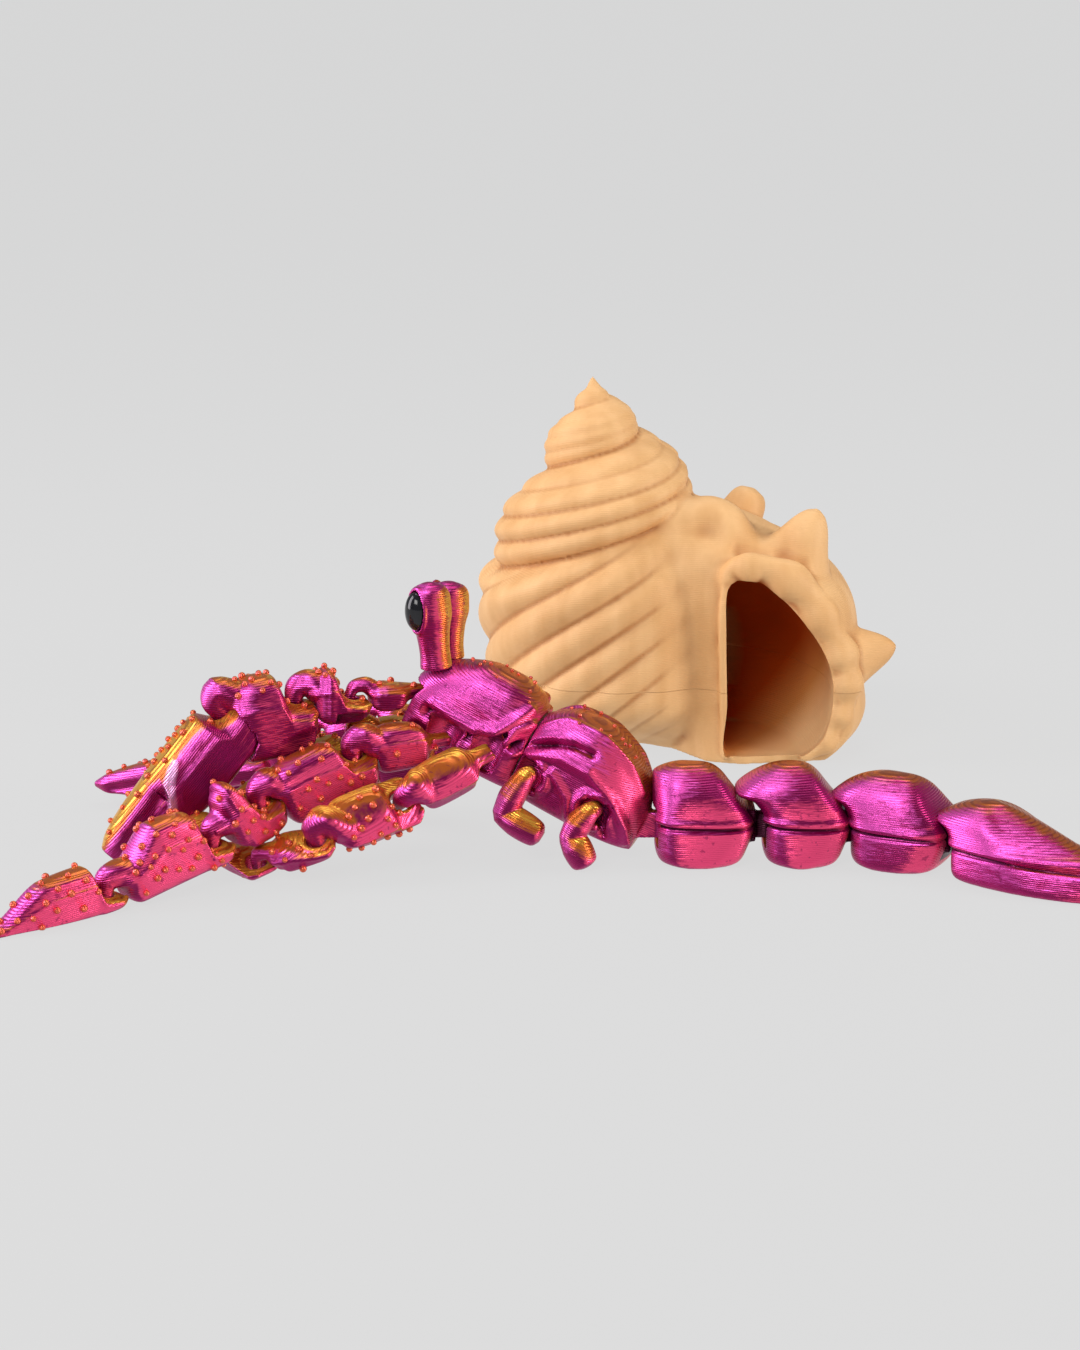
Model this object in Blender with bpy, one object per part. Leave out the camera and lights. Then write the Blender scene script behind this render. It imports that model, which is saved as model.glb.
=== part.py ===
"""Jointed toy hermit crab with its empty spiral shell, as loose-linked printed pieces.

Lengths are in millimetres and angles in degrees until mesh_object() turns them into metres.
The crab's head points along -X, its tail along +X and its left side towards -Y. Z is up and
z = 0 is the table. Every link has its own frame: x runs from its joint towards the tip of the
limb, z is its upper side as printed, and the joint to its parent is at the frame's origin.
"""

import math

import bmesh
import bpy
from mathutils import Matrix, Vector

MM = 0.001
GAP = 0.3  # clearance between pieces that touch
FOOTPRINT_MIDDLE = (4.75, 43.05, 0.0)  # middle of the footprint while the part is being laid out

# Colours and finish of the printed plastics: colour, roughness, metallic.
MAGENTA_SILK = ("magenta_silk", (0.62, 0.05, 0.30), 0.32, 0.35)
TAN_PLASTIC = ("tan_plastic", (0.74, 0.47, 0.22), 0.62, 0.0)
EYE_BLACK = ("eye_black", (0.01, 0.01, 0.012), 0.12, 0.0)

# The loose link between two pieces: a beak on the parent hooks down through an eye in the child.
LINK = {
    "eye_radius": 2.1,  # half the width of the eye hole
    "eye_bar": 1.7,  # plastic left between the eye and the child's end
    "bar_drop": 0.9,  # how far the bar's top lies under the joint
    "beak_radius": 1.5,  # in the eye; the beak is thicker where it leaves its link
    "beak_depth": 3.4,  # how far the beak reaches into the eye
    "end_gap": 0.7,  # air between the child's end and the parent's body
}

# Front body: thorax and carapace are one rigid casting, pitched up and turned a little.
BODY = {
    "origin": (24.0, 0.0, 10.0),
    "heading": -15.0,
    "pitch": 25.0,
    "base": -10.0,
    "half_width": 9.6,
}
# (distance forward, height of the top, share of the full half width)
THORAX_PROFILE = ((1.4, -1.0, 0.36), (2.8, 2.2, 0.58), (6.0, 5.9, 0.84), (11.0, 9.0, 1.0),
                  (17.5, 10.9, 1.02), (23.0, 10.3, 0.98), (27.0, 8.2, 0.86), (28.85, 6.6, 0.8))
CARAPACE_PROFILE = ((29.15, 7.0, 0.82), (31.5, 9.6, 0.93), (36.5, 11.0, 1.0), (42.5, 10.8, 1.0),
                    (48.0, 8.8, 0.96), (52.5, 6.1, 0.88), (55.2, 3.2, 0.74), (56.6, -0.6, 0.6))

# Tail: each segment's name, joint spacing, heading, half width and height.
TAIL = (
    ("tail_1", 21.8, 180.0, 9.9, 19.9),
    ("tail_2", 19.4, 179.0, 10.1, 20.0),
    ("tail_3", 22.4, 154.0, 10.0, 18.2),
    ("tail_4", 33.5, 141.0, 9.8, 15.0),
)
TAIL_START = (26.4, 0.0)
# Level outlines of a segment, bottom to top: share of height, front edge, rear edge, share of half
# width. The front edge overhangs the piece before it, and the rear edge leans back under it.
TAIL_LEVELS = (
    (0.0, -0.6, -8.4, 0.84), (0.12, -3.0, -6.2, 0.98), (0.39, -3.3, -4.4, 1.0), (0.412, -2.9, -4.8, 0.92),
    (0.434, -3.3, -4.4, 1.0), (0.57, -4.2, -6.3, 0.98), (0.74, -7.0, -10.0, 0.86), (0.9, -6.4, -12.4, 0.58),
    (1.0, -0.4, -14.2, 0.2))
TAIL_LINK = {"low": 4.3, "high": 9.6, "pin": 1.3, "ring": 3.1, "hole": 1.8}

# Limbs: root joint, then per link (name, joint spacing, heading, pitch, roll, width, top, bottom).
LIMBS = {
    "left_front_leg": ((-20.2, 3.0, 23.6), (
        ("ischium", 18.8, 19, -5, 0, 8.4, 5.2, -4.2), ("merus", 21.4, 26, -20, 0, 10.0, 5.6, -7.2),
        ("carpus", 12.8, 38, -28, 0, 9.6, 9.2, -6.4), ("propodus", 24.6, 37, -13, 0, 9.2, 9.4, -4.2),
        ("dactyl", 31.4, 41, -5, 0, 8.4, 7.6, -3.2))),
    "left_rear_leg": ((-11.4, -1.6, 21.6), (
        ("ischium", 19.6, 26, -21, 40, 8.4, 3.8, -4.4), ("merus", 18.8, 24, -18, 52, 10.2, 4.0, -5.2),
        ("carpus", 14.0, -16, -24, 30, 8.0, 2.6, -3.4), ("dactyl", 22.0, -52, -2, 12, 6.4, 2.4, -3.0))),
    "right_front_leg": ((-24.0, 12.6, 24.8), (
        ("ischium", 15.8, 24, -7, 0, 6.4, 3.0, -2.8), ("merus", 14.2, 21, -20, 0, 6.8, 3.0, -4.0),
        ("carpus", 17.6, 38, -22, 0, 5.2, 2.4, -3.2), ("propodus", 16.0, 37, -14, 0, 4.6, 2.4, -3.2),
        ("dactyl", 13.6, 28, -24, 0, 4.4, 2.2, -2.2))),
    "right_rear_leg": ((-7.4, 18.6, 18.4), (
        ("ischium", 16.6, -34, -18, 0, 8.0, 4.4, -4.2), ("merus", 19.0, -20, -16, 0, 8.6, 4.6, -4.8),
        ("propodus", 17.6, -14, -8, 0, 8.0, 4.6, -4.0), ("dactyl", 24.0, -10, -3, 0, 7.0, 4.2, -3.0))),
    "left_claw": ((-24.6, 8.8, 32.4), (
        ("ischium", 14.6, 17, 1, 0, 7.4, 2.4, -3.4), ("merus", 11.6, 17, 0, 0, 10.6, 6.2, -5.2),
        ("carpus", 15.0, 19, -6, 0, 12.6, 6.4, -10.6))),
    "right_claw": ((-24.6, 16.8, 26.0), (
        ("ischium", 12.2, -22, -14, 0, 6.6, 2.6, -3.0), ("merus", 13.4, -22, -18, 0, 8.6, 2.6, -4.8),
        ("carpus", 15.2, -16, -22, 0, 10.6, 3.0, -6.6))),
}
# How a limb swings at its root: hinge axis and the angle it can reach from rest.
SWINGS = {
    "left_front_leg": ((-0.3, 0.87, 0.4), 8.0),
    "left_rear_leg": ((0.0, 0.0, 1.0), 5.0),
    "right_front_leg": ((0.0, 0.0, 1.0), 0.0),
    "right_rear_leg": ((0.0, 0.0, -1.0), 18.0),
    "left_claw": ((-0.292, 0.956, 0.0), 22.0),
    "right_claw": ((0.375, 0.927, 0.0), 22.0),
}
# Hands of the claws: heading and pitch, palm length, half thickness, depth above and below the
# joint, the finger's length, and its tip's share of the half thickness, bottom and top.
HANDS = {
    "left_claw": {"heading": 15, "pitch": -50, "palm": 20.0, "half": 6.4, "top": 4.4, "base": -9.6,
                  "finger": 16.0, "tip": (0.34, -4.0, 1.8)},
    "right_claw": {"heading": -15, "pitch": -14, "palm": 17.0, "half": 5.8, "top": 3.0, "base": -5.6,
                   "finger": 20.0, "tip": (0.14, -0.8, 0.4)},
}
# Small legs: distance forward on the body, side (+1 left), then the knee and the tip, as
# offsets from the socket (forward, outward and up in the body's own frame).
SMALL_LEGS = (
    ("left_small_leg_1", 25.6, 1, (0.9, 3.4, -8.6), (-8.1, 3.0, -9.4)),
    ("left_small_leg_2", 10.8, 1, (1.5, 3.4, -6.0), (-4.1, 3.6, -10.1)),
    ("right_small_leg_1", 25.6, -1, (0.9, 3.4, -6.6), (-6.6, 3.0, -7.6)),
    ("right_small_leg_2", 10.8, -1, (1.5, 3.4, -4.6), (-3.8, 3.6, -8.2)),
)
# Where two neighbouring pieces come close together, the first is trimmed back from the second.
TRIMS = (
    ("left_claw_carpus", "left_front_leg_merus"),
    ("left_rear_leg_ischium", "left_front_leg_ischium"), ("left_rear_leg_merus", "left_front_leg_merus"),
    ("left_rear_leg_carpus", "left_front_leg_merus"), ("left_rear_leg_carpus", "left_front_leg_carpus"),
    ("right_front_leg_merus", "left_claw_carpus"), ("right_front_leg_propodus", "left_claw_palm"),
    ("right_front_leg_propodus", "left_claw_finger"))
# Eyestalks: side, and where the head stands from the base (along -X, sideways, up).
EYESTALKS = (("left", 1, (1.6, 0.4, 17.2)), ("right", -1, (0.0, -1.0, 15.4)))

# Shell: its axis leans, so the tip stands to the left of the base.
SHELL = {
    "tip": (11.8, 95.0, 84.4),
    "lean": 0.13,  # sideways travel of the axis for each unit of height
    "slope": 0.61,  # radius of a suture over its distance from the tip
    "whorl_slope": 0.67,  # and of a whorl just above its lower suture
    "seam": 17.0,
    "angles": 30,
    "levels": 21,
}
# Distance of the suture from the tip, for each half turn, starting on the right.
SUTURES = (3.0, 4.8, 7.2, 13.2, 19.4, 28.6, 40.6)
# Radius of the last whorl at angles from the lip round the back and left side to the front.
LAST_WHORL = ((-22, 57.0), (0, 55.0), (40, 50.0), (90, 42.0), (135, 36.0), (180, 32.4), (225, 30.0),
              (270, 28.0), (300, 27.5))
# Share of that radius left at the table, where the whorl turns in under itself.
TUCK = ((-49, 0.98), (-22, 0.9), (0, 0.84), (40, 0.76), (90, 0.66), (135, 0.56), (180, 0.46), (240, 0.3),
        (270, 0.22), (285, 0.3), (301, 0.5))
LIP_ANGLE = -22.0
COLUMELLA_ANGLE = -49.0
CREASE_ANGLE = -59.0
MOUTH_PLANE = 26.6  # the mouth's face stands this far in front of the axis
# Outline of the mouth: across from the columella edge, height above the table.
MOUTH = ((42.0, 2.0), (41.6, 15.0), (41.4, 30.0), (41.8, 41.0), (45.6, 44.0), (51.6, 41.4), (57.6, 36.0),
         (63.4, 29.0), (66.9, 21.6), (67.4, 13.6), (64.0, 5.6), (56.0, 2.2))
# Spikes on the shell: root inside the wall, tip, and radius of the root.
SPIKES = (((56.0, 80.0, 41.0), (62.6, 79.4, 56.8), 8.4), ((66.0, 78.0, 22.0), (80.6, 75.0, 26.4), 7.4),
          ((44.0, 111.0, 43.0), (50.6, 113.0, 56.0), 7.4), ((56.0, 112.0, 26.0), (67.6, 120.0, 32.0), 6.6))


# ---------------------------------------------------------------- general tools

def pose(origin, heading=0.0, pitch=0.0, roll=0.0):
    """Frame whose x axis points to -X turned by heading towards -Y and raised by pitch."""
    turn = math.radians(heading)
    rise = math.radians(pitch)
    forward = Vector((-math.cos(turn) * math.cos(rise), -math.sin(turn) * math.cos(rise), math.sin(rise)))
    left = Vector((math.sin(turn), -math.cos(turn), 0.0))
    up = forward.cross(left)
    frame = Matrix((forward, left, up)).transposed().to_4x4()
    frame = frame @ Matrix.Rotation(math.radians(-roll), 4, "X")
    frame.translation = Vector(origin)
    return frame


def material(finish):
    name, colour, roughness, metallic = finish
    found = bpy.data.materials.get(name)
    if found:
        return found
    made = bpy.data.materials.new(name)
    made.use_nodes = True
    shader = made.node_tree.nodes["Principled BSDF"]
    shader.inputs["Base Color"].default_value = (*colour, 1.0)
    shader.inputs["Roughness"].default_value = roughness
    shader.inputs["Metallic"].default_value = metallic
    return made


def mesh_object(name, bm, frame=None, finish=MAGENTA_SILK):
    """An object in metres, standing at its frame, from a bmesh in millimetres."""
    bmesh.ops.recalc_face_normals(bm, faces=bm.faces)
    bmesh.ops.scale(bm, vec=(MM, MM, MM), verts=bm.verts)
    mesh = bpy.data.meshes.new(name)
    bm.to_mesh(mesh)
    bm.free()
    made = bpy.data.objects.new(name, mesh)
    bpy.context.scene.collection.objects.link(made)
    made.data.materials.append(material(finish))
    if frame is not None:
        placed = frame.copy()
        placed.translation = frame.translation * MM
        made.matrix_world = placed
    return made


def helper(made):
    """Marks an object as a cutter or an addition, which is no piece of its own."""
    made.hide_render = True
    made.display_type = "WIRE"
    return made


def combine(target, other, operation):
    change = target.modifiers.new(operation.lower(), "BOOLEAN")
    change.operation = operation
    change.solver = "EXACT"
    change.object = helper(other)


def skin(bm, rings):
    """Closes a row of equal rings of points into one solid with flat ends."""
    made = [[bm.verts.new(p) for p in ring] for ring in rings]
    count = len(made[0])
    for near, far in zip(made, made[1:]):
        for i in range(count):
            j = (i + 1) % count
            bm.faces.new((near[i], near[j], far[j], far[i]))
    bm.faces.new(list(reversed(made[0])))
    bm.faces.new(made[-1])


def block_ring(x, half_width, bottom, top, shoulder=0.6, y_shift=0.0):
    """Upright cross-section with a flat base, straight sides and a domed top."""
    height = top - bottom
    half = ((0.84, 0.0), (1.0, 0.14), (1.0, shoulder), (0.62, 0.9))
    side = [(half_width * w, bottom + height * h) for w, h in half]
    points = side + [(0.0, top)] + [(-y, z) for y, z in reversed(side)]
    return [Vector((x, y + y_shift, z)) for y, z in points]


def block(name, stations, frame, finish=MAGENTA_SILK, shoulder=0.6):
    bm = bmesh.new()
    skin(bm, [block_ring(*station, shoulder=shoulder) for station in stations])
    return mesh_object(name, bm, frame, finish)


def bar(name, path, radii, frame, sides=6, finish=MAGENTA_SILK):
    """A rod of changing thickness along a path, with flat ends."""
    points = [Vector(p) for p in path]
    bm = bmesh.new()
    rings = []
    for i, centre in enumerate(points):
        along = (points[min(i + 1, len(points) - 1)] - points[max(i - 1, 0)]).normalized()
        across = along.cross(Vector((0.0, 1.0, 0.0)))
        if across.length < 0.1:
            across = along.cross(Vector((1.0, 0.0, 0.0)))
        across.normalize()
        other = along.cross(across)
        radius = radii[i]
        rings.append([
            centre + across * (radius * math.cos(2 * math.pi * k / sides))
            + other * (radius * math.sin(2 * math.pi * k / sides)) for k in range(sides)])
    skin(bm, rings)
    return mesh_object(name, bm, frame, finish)


def box(name, low, high, frame=None):
    bm = bmesh.new()
    middle = [(a + b) / 2 for a, b in zip(low, high)]
    size = [b - a for a, b in zip(low, high)]
    bmesh.ops.create_cube(bm, size=1.0, matrix=Matrix.Translation(middle) @ Matrix.Diagonal((*size, 1.0)))
    return mesh_object(name, bm, frame)


# ---------------------------------------------------------------- links of the limbs

built = {}  # each link's name: its frame and sections, kept for trimming its neighbours


def swing(name, angle):
    """How a limb's first joint moves it, as a matrix in the shared frame."""
    pivot = Matrix.Translation(Vector(LIMBS[name][0]))
    return pivot @ Matrix.Rotation(math.radians(angle), 4, Vector(SWINGS[name][0])) @ pivot.inverted()


def trim(target_name, other_name, margin=0.4):
    """Cuts back a link where it comes nearer to another than the margin, at rest and swung."""
    frame, stations = built[other_name]
    target = bpy.data.objects[target_name]
    own, other = target_name.rsplit("_", 1)[0], other_name.rsplit("_", 1)[0]
    places = [swing(own, 0.0)]
    if own == "left_rear_leg" and other == "left_front_leg":
        places += [swing(own, -SWINGS[own][1]), swing(other, SWINGS[other][1])]
    elif own == "left_claw" and other == "left_front_leg":
        places += [swing(other, SWINGS[other][1])]
    for index, moved in enumerate(places):
        cutter = grown_block(f"{target_name}_from_{other_name}_{index}", stations, moved @ frame, margin)
        combine(target, cutter, "DIFFERENCE")


def add_eye(target, frame, name):
    """Cuts the upright eye that the parent's beak hooks into."""
    radius = LINK["eye_radius"]
    bm = bmesh.new()
    bmesh.ops.create_cone(bm, cap_ends=True, segments=8, radius1=radius, radius2=radius, depth=60.0)
    combine(target, mesh_object(name + "_eye_cutter", bm, frame), "DIFFERENCE")


def body_end(length):
    """Where a link's own body ends, just short of the next link."""
    return length - LINK["eye_radius"] - LINK["eye_bar"] - LINK["end_gap"]


def add_beak(target, frame, length, top, name, lift=0.0):
    """Adds the beak that arches over the next link's bar and down into its eye."""
    thick = LINK["beak_radius"] * min(top / 4.0, 1.0)
    end = body_end(length)
    root = max(min(top, 4.6) - 1.9 * thick, 0.5)
    over = max(root, 1.5 * thick + 0.4) + lift
    deep = LINK["beak_depth"] * (0.4 + 0.6 * thick / LINK["beak_radius"])
    path = ((end - 2.4, 0.0, root), (end + 1.3, 0.0, over),
            (length - 1.0, 0.0, 1.3 * thick + 0.4 + lift * 0.6), (length - 0.1, 0.0, -0.8),
            (length, 0.0, -deep))
    radii = (thick * 1.9, thick * 1.5, thick * 1.3, thick, thick * 0.7)
    combine(target, bar(name + "_beak", path, radii, frame, sides=6), "UNION")


def eye_stations(half, top, bottom, rise=1.3):
    """The sections round a link's eye: low at the bar, rising to the full height behind it."""
    radius = LINK["eye_radius"]
    return [
        (-radius - LINK["eye_bar"], half * 0.64, bottom * 0.55, -LINK["bar_drop"]),
        (-radius, half * 0.97, bottom * 0.9, -LINK["bar_drop"]),
        (radius, half, bottom, 0.7),
        (radius + rise, half, bottom, top * 0.86)]


def link_stations(length, width, top, bottom, rise):
    """Sections of a link from its eye to the end that carries its beak."""
    half = width / 2
    end = body_end(length)
    first = LINK["eye_radius"] + rise + 0.2
    return eye_stations(half, top, bottom, rise) + [
        ((first + end) / 2, half * 1.02, bottom, top),
        (end - 1.4, half * 0.98, bottom, top * 0.95),
        (end, half * 0.86, bottom * 0.8, top * 0.8)]


def root_stations(length, width, top, bottom):
    """Sections of a limb's first link, whose root tongue sits in a pocket of the body."""
    half = width / 2
    end = body_end(length)
    return [
        (-1.8, 1.5, -1.3, 1.3), (2.2, 1.8, -1.5, 1.8), (4.4, half, bottom * 0.9, top * 0.8),
        ((4.4 + end) / 2, half * 1.02, bottom, top), (end - 1.2, half * 0.98, bottom, top * 0.95),
        (end, half * 0.86, bottom * 0.8, top * 0.8)]


def tip_stations(length, width, top, bottom, rise):
    """Sections of a limb's last link, curving down to a point."""
    half = width / 2
    return eye_stations(half, top, bottom, rise) + [
        (length * 0.42, half * 0.86, bottom, top * 0.8),
        (length * 0.72, half * 0.52, bottom * 0.98, top * 0.12),
        (length, half * 0.16, bottom * 0.9, bottom * 0.5)]


def grown_block(name, stations, frame, margin):
    """A link's body, made larger all round, to cut its neighbours back with."""
    grown = [(x, half + margin, low - margin, high + margin) for x, half, low, high in stations]
    grown.insert(0, (stations[0][0] - margin, *grown[0][1:]))
    grown.append((stations[-1][0] + margin, *grown[-1][1:]))
    return block(name, grown, frame)


def limb(name, root, links):
    """Builds one limb link by link, after placing all of its links."""
    origin = Vector(root)
    for index, (part, length, heading, pitch, roll, width, top, bottom) in enumerate(links):
        frame = pose(origin, heading, pitch, roll)
        # a link that turns sharply from the one before rises later, clear of the beak across it
        rise = 3.0 if index and bend(links[index - 1], links[index]) > 30.0 else 1.3
        if index == 0:
            stations = root_stations(length, width, top, bottom)
        elif part == "dactyl":
            stations = tip_stations(length, width, top, bottom, rise)
        else:
            stations = link_stations(length, width, top, bottom, rise)
        built[f"{name}_{part}"] = (frame, stations)
        origin = frame @ Vector((length, 0.0, 0.0))
    if name in HANDS:
        size = HANDS[name]
        built[name + "_palm"] = (pose(origin, size["heading"], size["pitch"]), palm_stations(size))
    for index, (part, length, heading, pitch, _, _, top, _) in enumerate(links):
        full = f"{name}_{part}"
        made = block(full, built[full][1], built[full][0])
        if part != "dactyl":
            if index + 1 < len(links):
                frame, stations = built[f"{name}_{links[index + 1][0]}"]
                if bend(links[index], links[index + 1]) > 9.0:
                    room = grown_block(full + "_room", stations[:4], frame, 0.35)
                    combine(made, room, "DIFFERENCE")
            elif name in HANDS:
                frame, stations = built[name + "_palm"]
                combine(made, grown_block(full + "_room", stations, frame, 0.4), "DIFFERENCE")
            aim, lift = built[full][0], 0.0
            if name in HANDS or index + 1 < len(links):
                # the beak goes straight down the next link's eye; over a dipping link it rises
                aim = upright_frame(aim, frame, length)
                if index + 1 < len(links) and pitch - links[index + 1][3] > 20.0:
                    lift = 1.5
            add_beak(made, aim, length, top, full, lift)
        if index > 0:
            add_eye(made, built[full][0], full)
        stand_on_table(made)


def upright_frame(frame, following, length):
    """A link's frame turned so that its upper side agrees with that of the link it holds."""
    up = following.col[2].to_3d()
    forward = frame.col[0].to_3d()
    forward = (forward - up * forward.dot(up)).normalized()
    turned = Matrix((forward, up.cross(forward), up)).transposed().to_4x4()
    turned.translation = following.translation - forward * length
    return turned


def bend(link, following):
    """The larger of the turns, in heading and in pitch, from one link to the next."""
    return max(abs(link[2] - following[2]), abs(link[3] - following[3]))


def stand_on_table(target):
    """Trims whatever lies under the table's level to one flat."""
    table = bpy.data.objects.get("table_cutter")
    if table is None:
        table = box("table_cutter", (-400, -400, -60), (400, 400, 0))
    combine(target, table, "DIFFERENCE")


def palm_stations(size):
    half, top, base, palm = size["half"], size["top"], size["base"], size["palm"]
    return [
        (-3.8, half * 0.6, base * 0.62, -0.9), (-2.1, half * 0.84, base * 0.84, -0.7),
        (2.1, half * 0.96, base, 0.8), (3.6, half, base, top * 0.9),
        (palm * 0.6, half * 1.04, base, top), (palm - GAP / 2, half * 0.92, base * 0.9, top * 0.95)]


def hand(name, size):
    """The claw's palm and its finger, as one stiff piece in two nodes."""
    half, top, base, palm = size["half"], size["top"], size["base"], size["palm"]
    frame, stations = built[name + "_palm"]
    made = block(name + "_palm", stations, frame)
    add_eye(made, frame, name + "_palm")
    stand_on_table(made)
    share, low, high = size["tip"]
    stations = []
    for along, blend in ((0.0, 0.0), (0.45, 0.16), (0.82, 0.5), (1.0, 1.0)):
        place = palm + max(size["finger"] * along, GAP / 2)
        stations.append((place, half * (0.92 + (share - 0.92) * blend),
                         base * 0.9 + (low - base * 0.9) * blend, top * 0.95 + (high - top * 0.95) * blend))
    stand_on_table(block(name + "_finger", stations, frame))
    built[name + "_finger"] = (frame, stations)


# ---------------------------------------------------------------- body, eyes, small legs

def body_frame():
    return pose(BODY["origin"], BODY["heading"], BODY["pitch"])


def profile_block(name, profile, frame):
    stations = [(x, BODY["half_width"] * share, BODY["base"], top) for x, top, share in profile]
    return block(name, stations, frame, shoulder=0.5)


def pocket(target, frame, place, radius, depth, name):
    """Cuts an upright round pocket for a limb's root tongue."""
    bm = bmesh.new()
    bmesh.ops.create_cone(bm, cap_ends=True, segments=9, radius1=radius, radius2=radius, depth=depth)
    bmesh.ops.translate(bm, vec=frame.inverted() @ Vector(place), verts=bm.verts)
    combine(target, mesh_object(name, bm, frame), "DIFFERENCE")


def front_body():
    frame = body_frame()
    thorax = profile_block("thorax", THORAX_PROFILE, frame)
    tongue = tail_tongue("thorax_tongue", pose((*TAIL_START, 0.0), 180.0), -14.0)
    combine(thorax, tongue, "UNION")
    stand_on_table(thorax)
    for name, forward, side, knee, tip in SMALL_LEGS:
        pocket(thorax, frame, small_leg_socket(forward, side), 3.2, 6.0, name + "_pocket")
    carapace = profile_block("carapace", CARAPACE_PROFILE, frame)
    # the hollow under the front edge where the claws and one leg leave the body
    mouth = box("mouth_cutter", (50.2, -7.4, -8.2), (62.0, 7.4, 1.9), frame)
    combine(carapace, mouth, "DIFFERENCE")
    for name in ("left_front_leg", "left_rear_leg", "right_rear_leg"):
        pocket(carapace, frame, LIMBS[name][0], 3.5, 7.6, name + "_pocket")


def free_the_roots():
    """Opens the body round every limb's first link, as far as its joint lets it swing."""
    carapace = bpy.data.objects["carapace"]
    for name, (_, reach) in SWINGS.items():
        frame, stations = built[name + "_ischium"]
        for angle in sorted({0.0, reach}):
            swung = swing(name, angle) @ frame
            grown = [(x, half + 0.5, low - 0.5, high + 0.5) for x, half, low, high in stations[:4]]
            grown.insert(0, (stations[0][0] - 0.5, *grown[0][1:]))
            combine(carapace, block(f"{name}_room_{angle:.0f}", grown, swung), "DIFFERENCE")


def tail_tongue(name, frame, start):
    """Neck and upright ring by which a piece holds the pin of the tail segment behind it."""
    ring, hole = TAIL_LINK["ring"], TAIL_LINK["hole"]
    low = TAIL_LINK["low"] - frame.translation.z
    high = TAIL_LINK["high"] - frame.translation.z
    outline = [(start, 1.6), (-2.7, 1.6)]
    outline += [(ring * math.cos(a), ring * math.sin(a)) for a in (2.2, 1.4, 0.5)]
    outline += [(x, -y) for x, y in reversed(outline)]
    bm = bmesh.new()
    skin(bm, [[Vector((x, y, z)) for x, y in outline] for z in (low, high)])
    made = mesh_object(name, bm, frame)
    bm = bmesh.new()
    bmesh.ops.create_cone(bm, cap_ends=True, segments=8, radius1=hole, radius2=hole, depth=60.0)
    combine(made, mesh_object(name + "_hole", bm, frame), "DIFFERENCE")
    return made


def level_outline(height, front, rear, half):
    """Outline of a tail segment at one height: hollow in front, rounded behind."""
    side = [(front + 1.1, half * 0.45), (front, half * 0.84), (front + 2.4, half), (rear - 9.0, half),
            (rear - 5.0, half * 0.82), (rear - 1.3, half * 0.42)]
    points = side + [(x, -y) for x, y in reversed(side)]
    return [Vector((x, y, height)) for x, y in points]


def tail_segment(index, joint):
    name, length, heading, half, tall = TAIL[index]
    last = index == len(TAIL) - 1
    frame = pose((joint.x, joint.y, 0.0), heading)
    bm = bmesh.new()
    rings = []
    for share, front, rear, wide in TAIL_LEVELS:
        height = share * tall
        if index == 0:
            front = max(front, -3.6)  # the thorax in front leaves no room for the overhang
        if last:
            # the end segment narrows to a low blunt point instead of ending at a joint
            reach = length * (1.0 - 0.86 * max(share - 0.3, 0.0) / 0.7)
            reach = max(reach, front + 5.0)
            ring = [(front + 1.1, 0.45), (front, 0.86), (front + 2.2, 1.0), (reach * 0.5, 0.86 - 0.3 * share),
                    (reach * 0.82, 0.46 - 0.2 * share), (reach, 0.14)]
            ring = [(x, half * wide * y) for x, y in ring]
            ring += [(x, -y) for x, y in reversed(ring)]
            rings.append([Vector((x, y, height)) for x, y in ring])
        else:
            rings.append(level_outline(height, front, length + rear, half * wide))
    skin(bm, rings)
    made = mesh_object(name, bm, frame)
    # the slot in front for the ring of the piece before it, and the pin across the slot
    slot = box(name + "_slot", (-20.0, -5.9, 3.4), (3.8, 5.9, 11.4), frame)
    combine(made, slot, "DIFFERENCE")
    bm = bmesh.new()
    pin = TAIL_LINK["pin"]
    bmesh.ops.create_cone(bm, cap_ends=True, segments=8, radius1=pin, radius2=pin, depth=9.4)
    bmesh.ops.translate(bm, vec=(0.0, 0.0, 7.4), verts=bm.verts)
    combine(made, mesh_object(name + "_pin", bm, frame), "UNION")
    end = frame @ Vector((length, 0.0, 0.0))
    if not last:
        combine(made, tail_tongue(name + "_tongue", pose((end.x, end.y, 0.0), heading), -9.0), "UNION")
    return end


def tail():
    joint = Vector((*TAIL_START, 0.0))
    for index in range(len(TAIL)):
        joint = tail_segment(index, joint)


def eyestalk(label, side, lean):
    frame = body_frame()
    base = frame @ Vector((53.0, 4.3 * side, 6.2))
    stand = pose(base)
    path = [Vector((0.0, 0.0, -0.4))]
    path += [Vector(lean) * share for share in (0.16, 0.42, 0.62, 0.84, 1.0)]
    bar(f"{label}_eyestalk", path, (2.9, 2.6, 2.9, 3.9, 4.1, 2.3), stand, sides=8)
    # the eye is let into the front of the head
    bm = bmesh.new()
    bmesh.ops.create_uvsphere(bm, u_segments=10, v_segments=7, radius=1.0)
    bmesh.ops.scale(bm, vec=(1.9, 2.2, 3.5), verts=bm.verts)
    spot = stand @ (Vector(lean) * 0.7 + Vector((2.9, 1.2 * side, 0.0)))
    eye = mesh_object(f"{label}_eye", bm, pose(spot, 25.0 * side), EYE_BLACK)
    cutter = eye.copy()
    cutter.data = eye.data.copy()
    cutter.name = f"{label}_eye_socket_cutter"
    bpy.context.scene.collection.objects.link(cutter)
    cutter.scale = (1.12, 1.12, 1.07)
    combine(bpy.data.objects[f"{label}_eyestalk"], cutter, "DIFFERENCE")
    # the stalk stands on the carapace with a hair's gap
    carapace = bpy.data.objects["carapace"]
    below = path[0] - Vector((0.0, 0.0, 0.3))
    seat = bar(f"{label}_seat_cutter", (below, path[1]), (3.3, 3.1), stand, sides=8)
    combine(carapace, seat, "DIFFERENCE")


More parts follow.
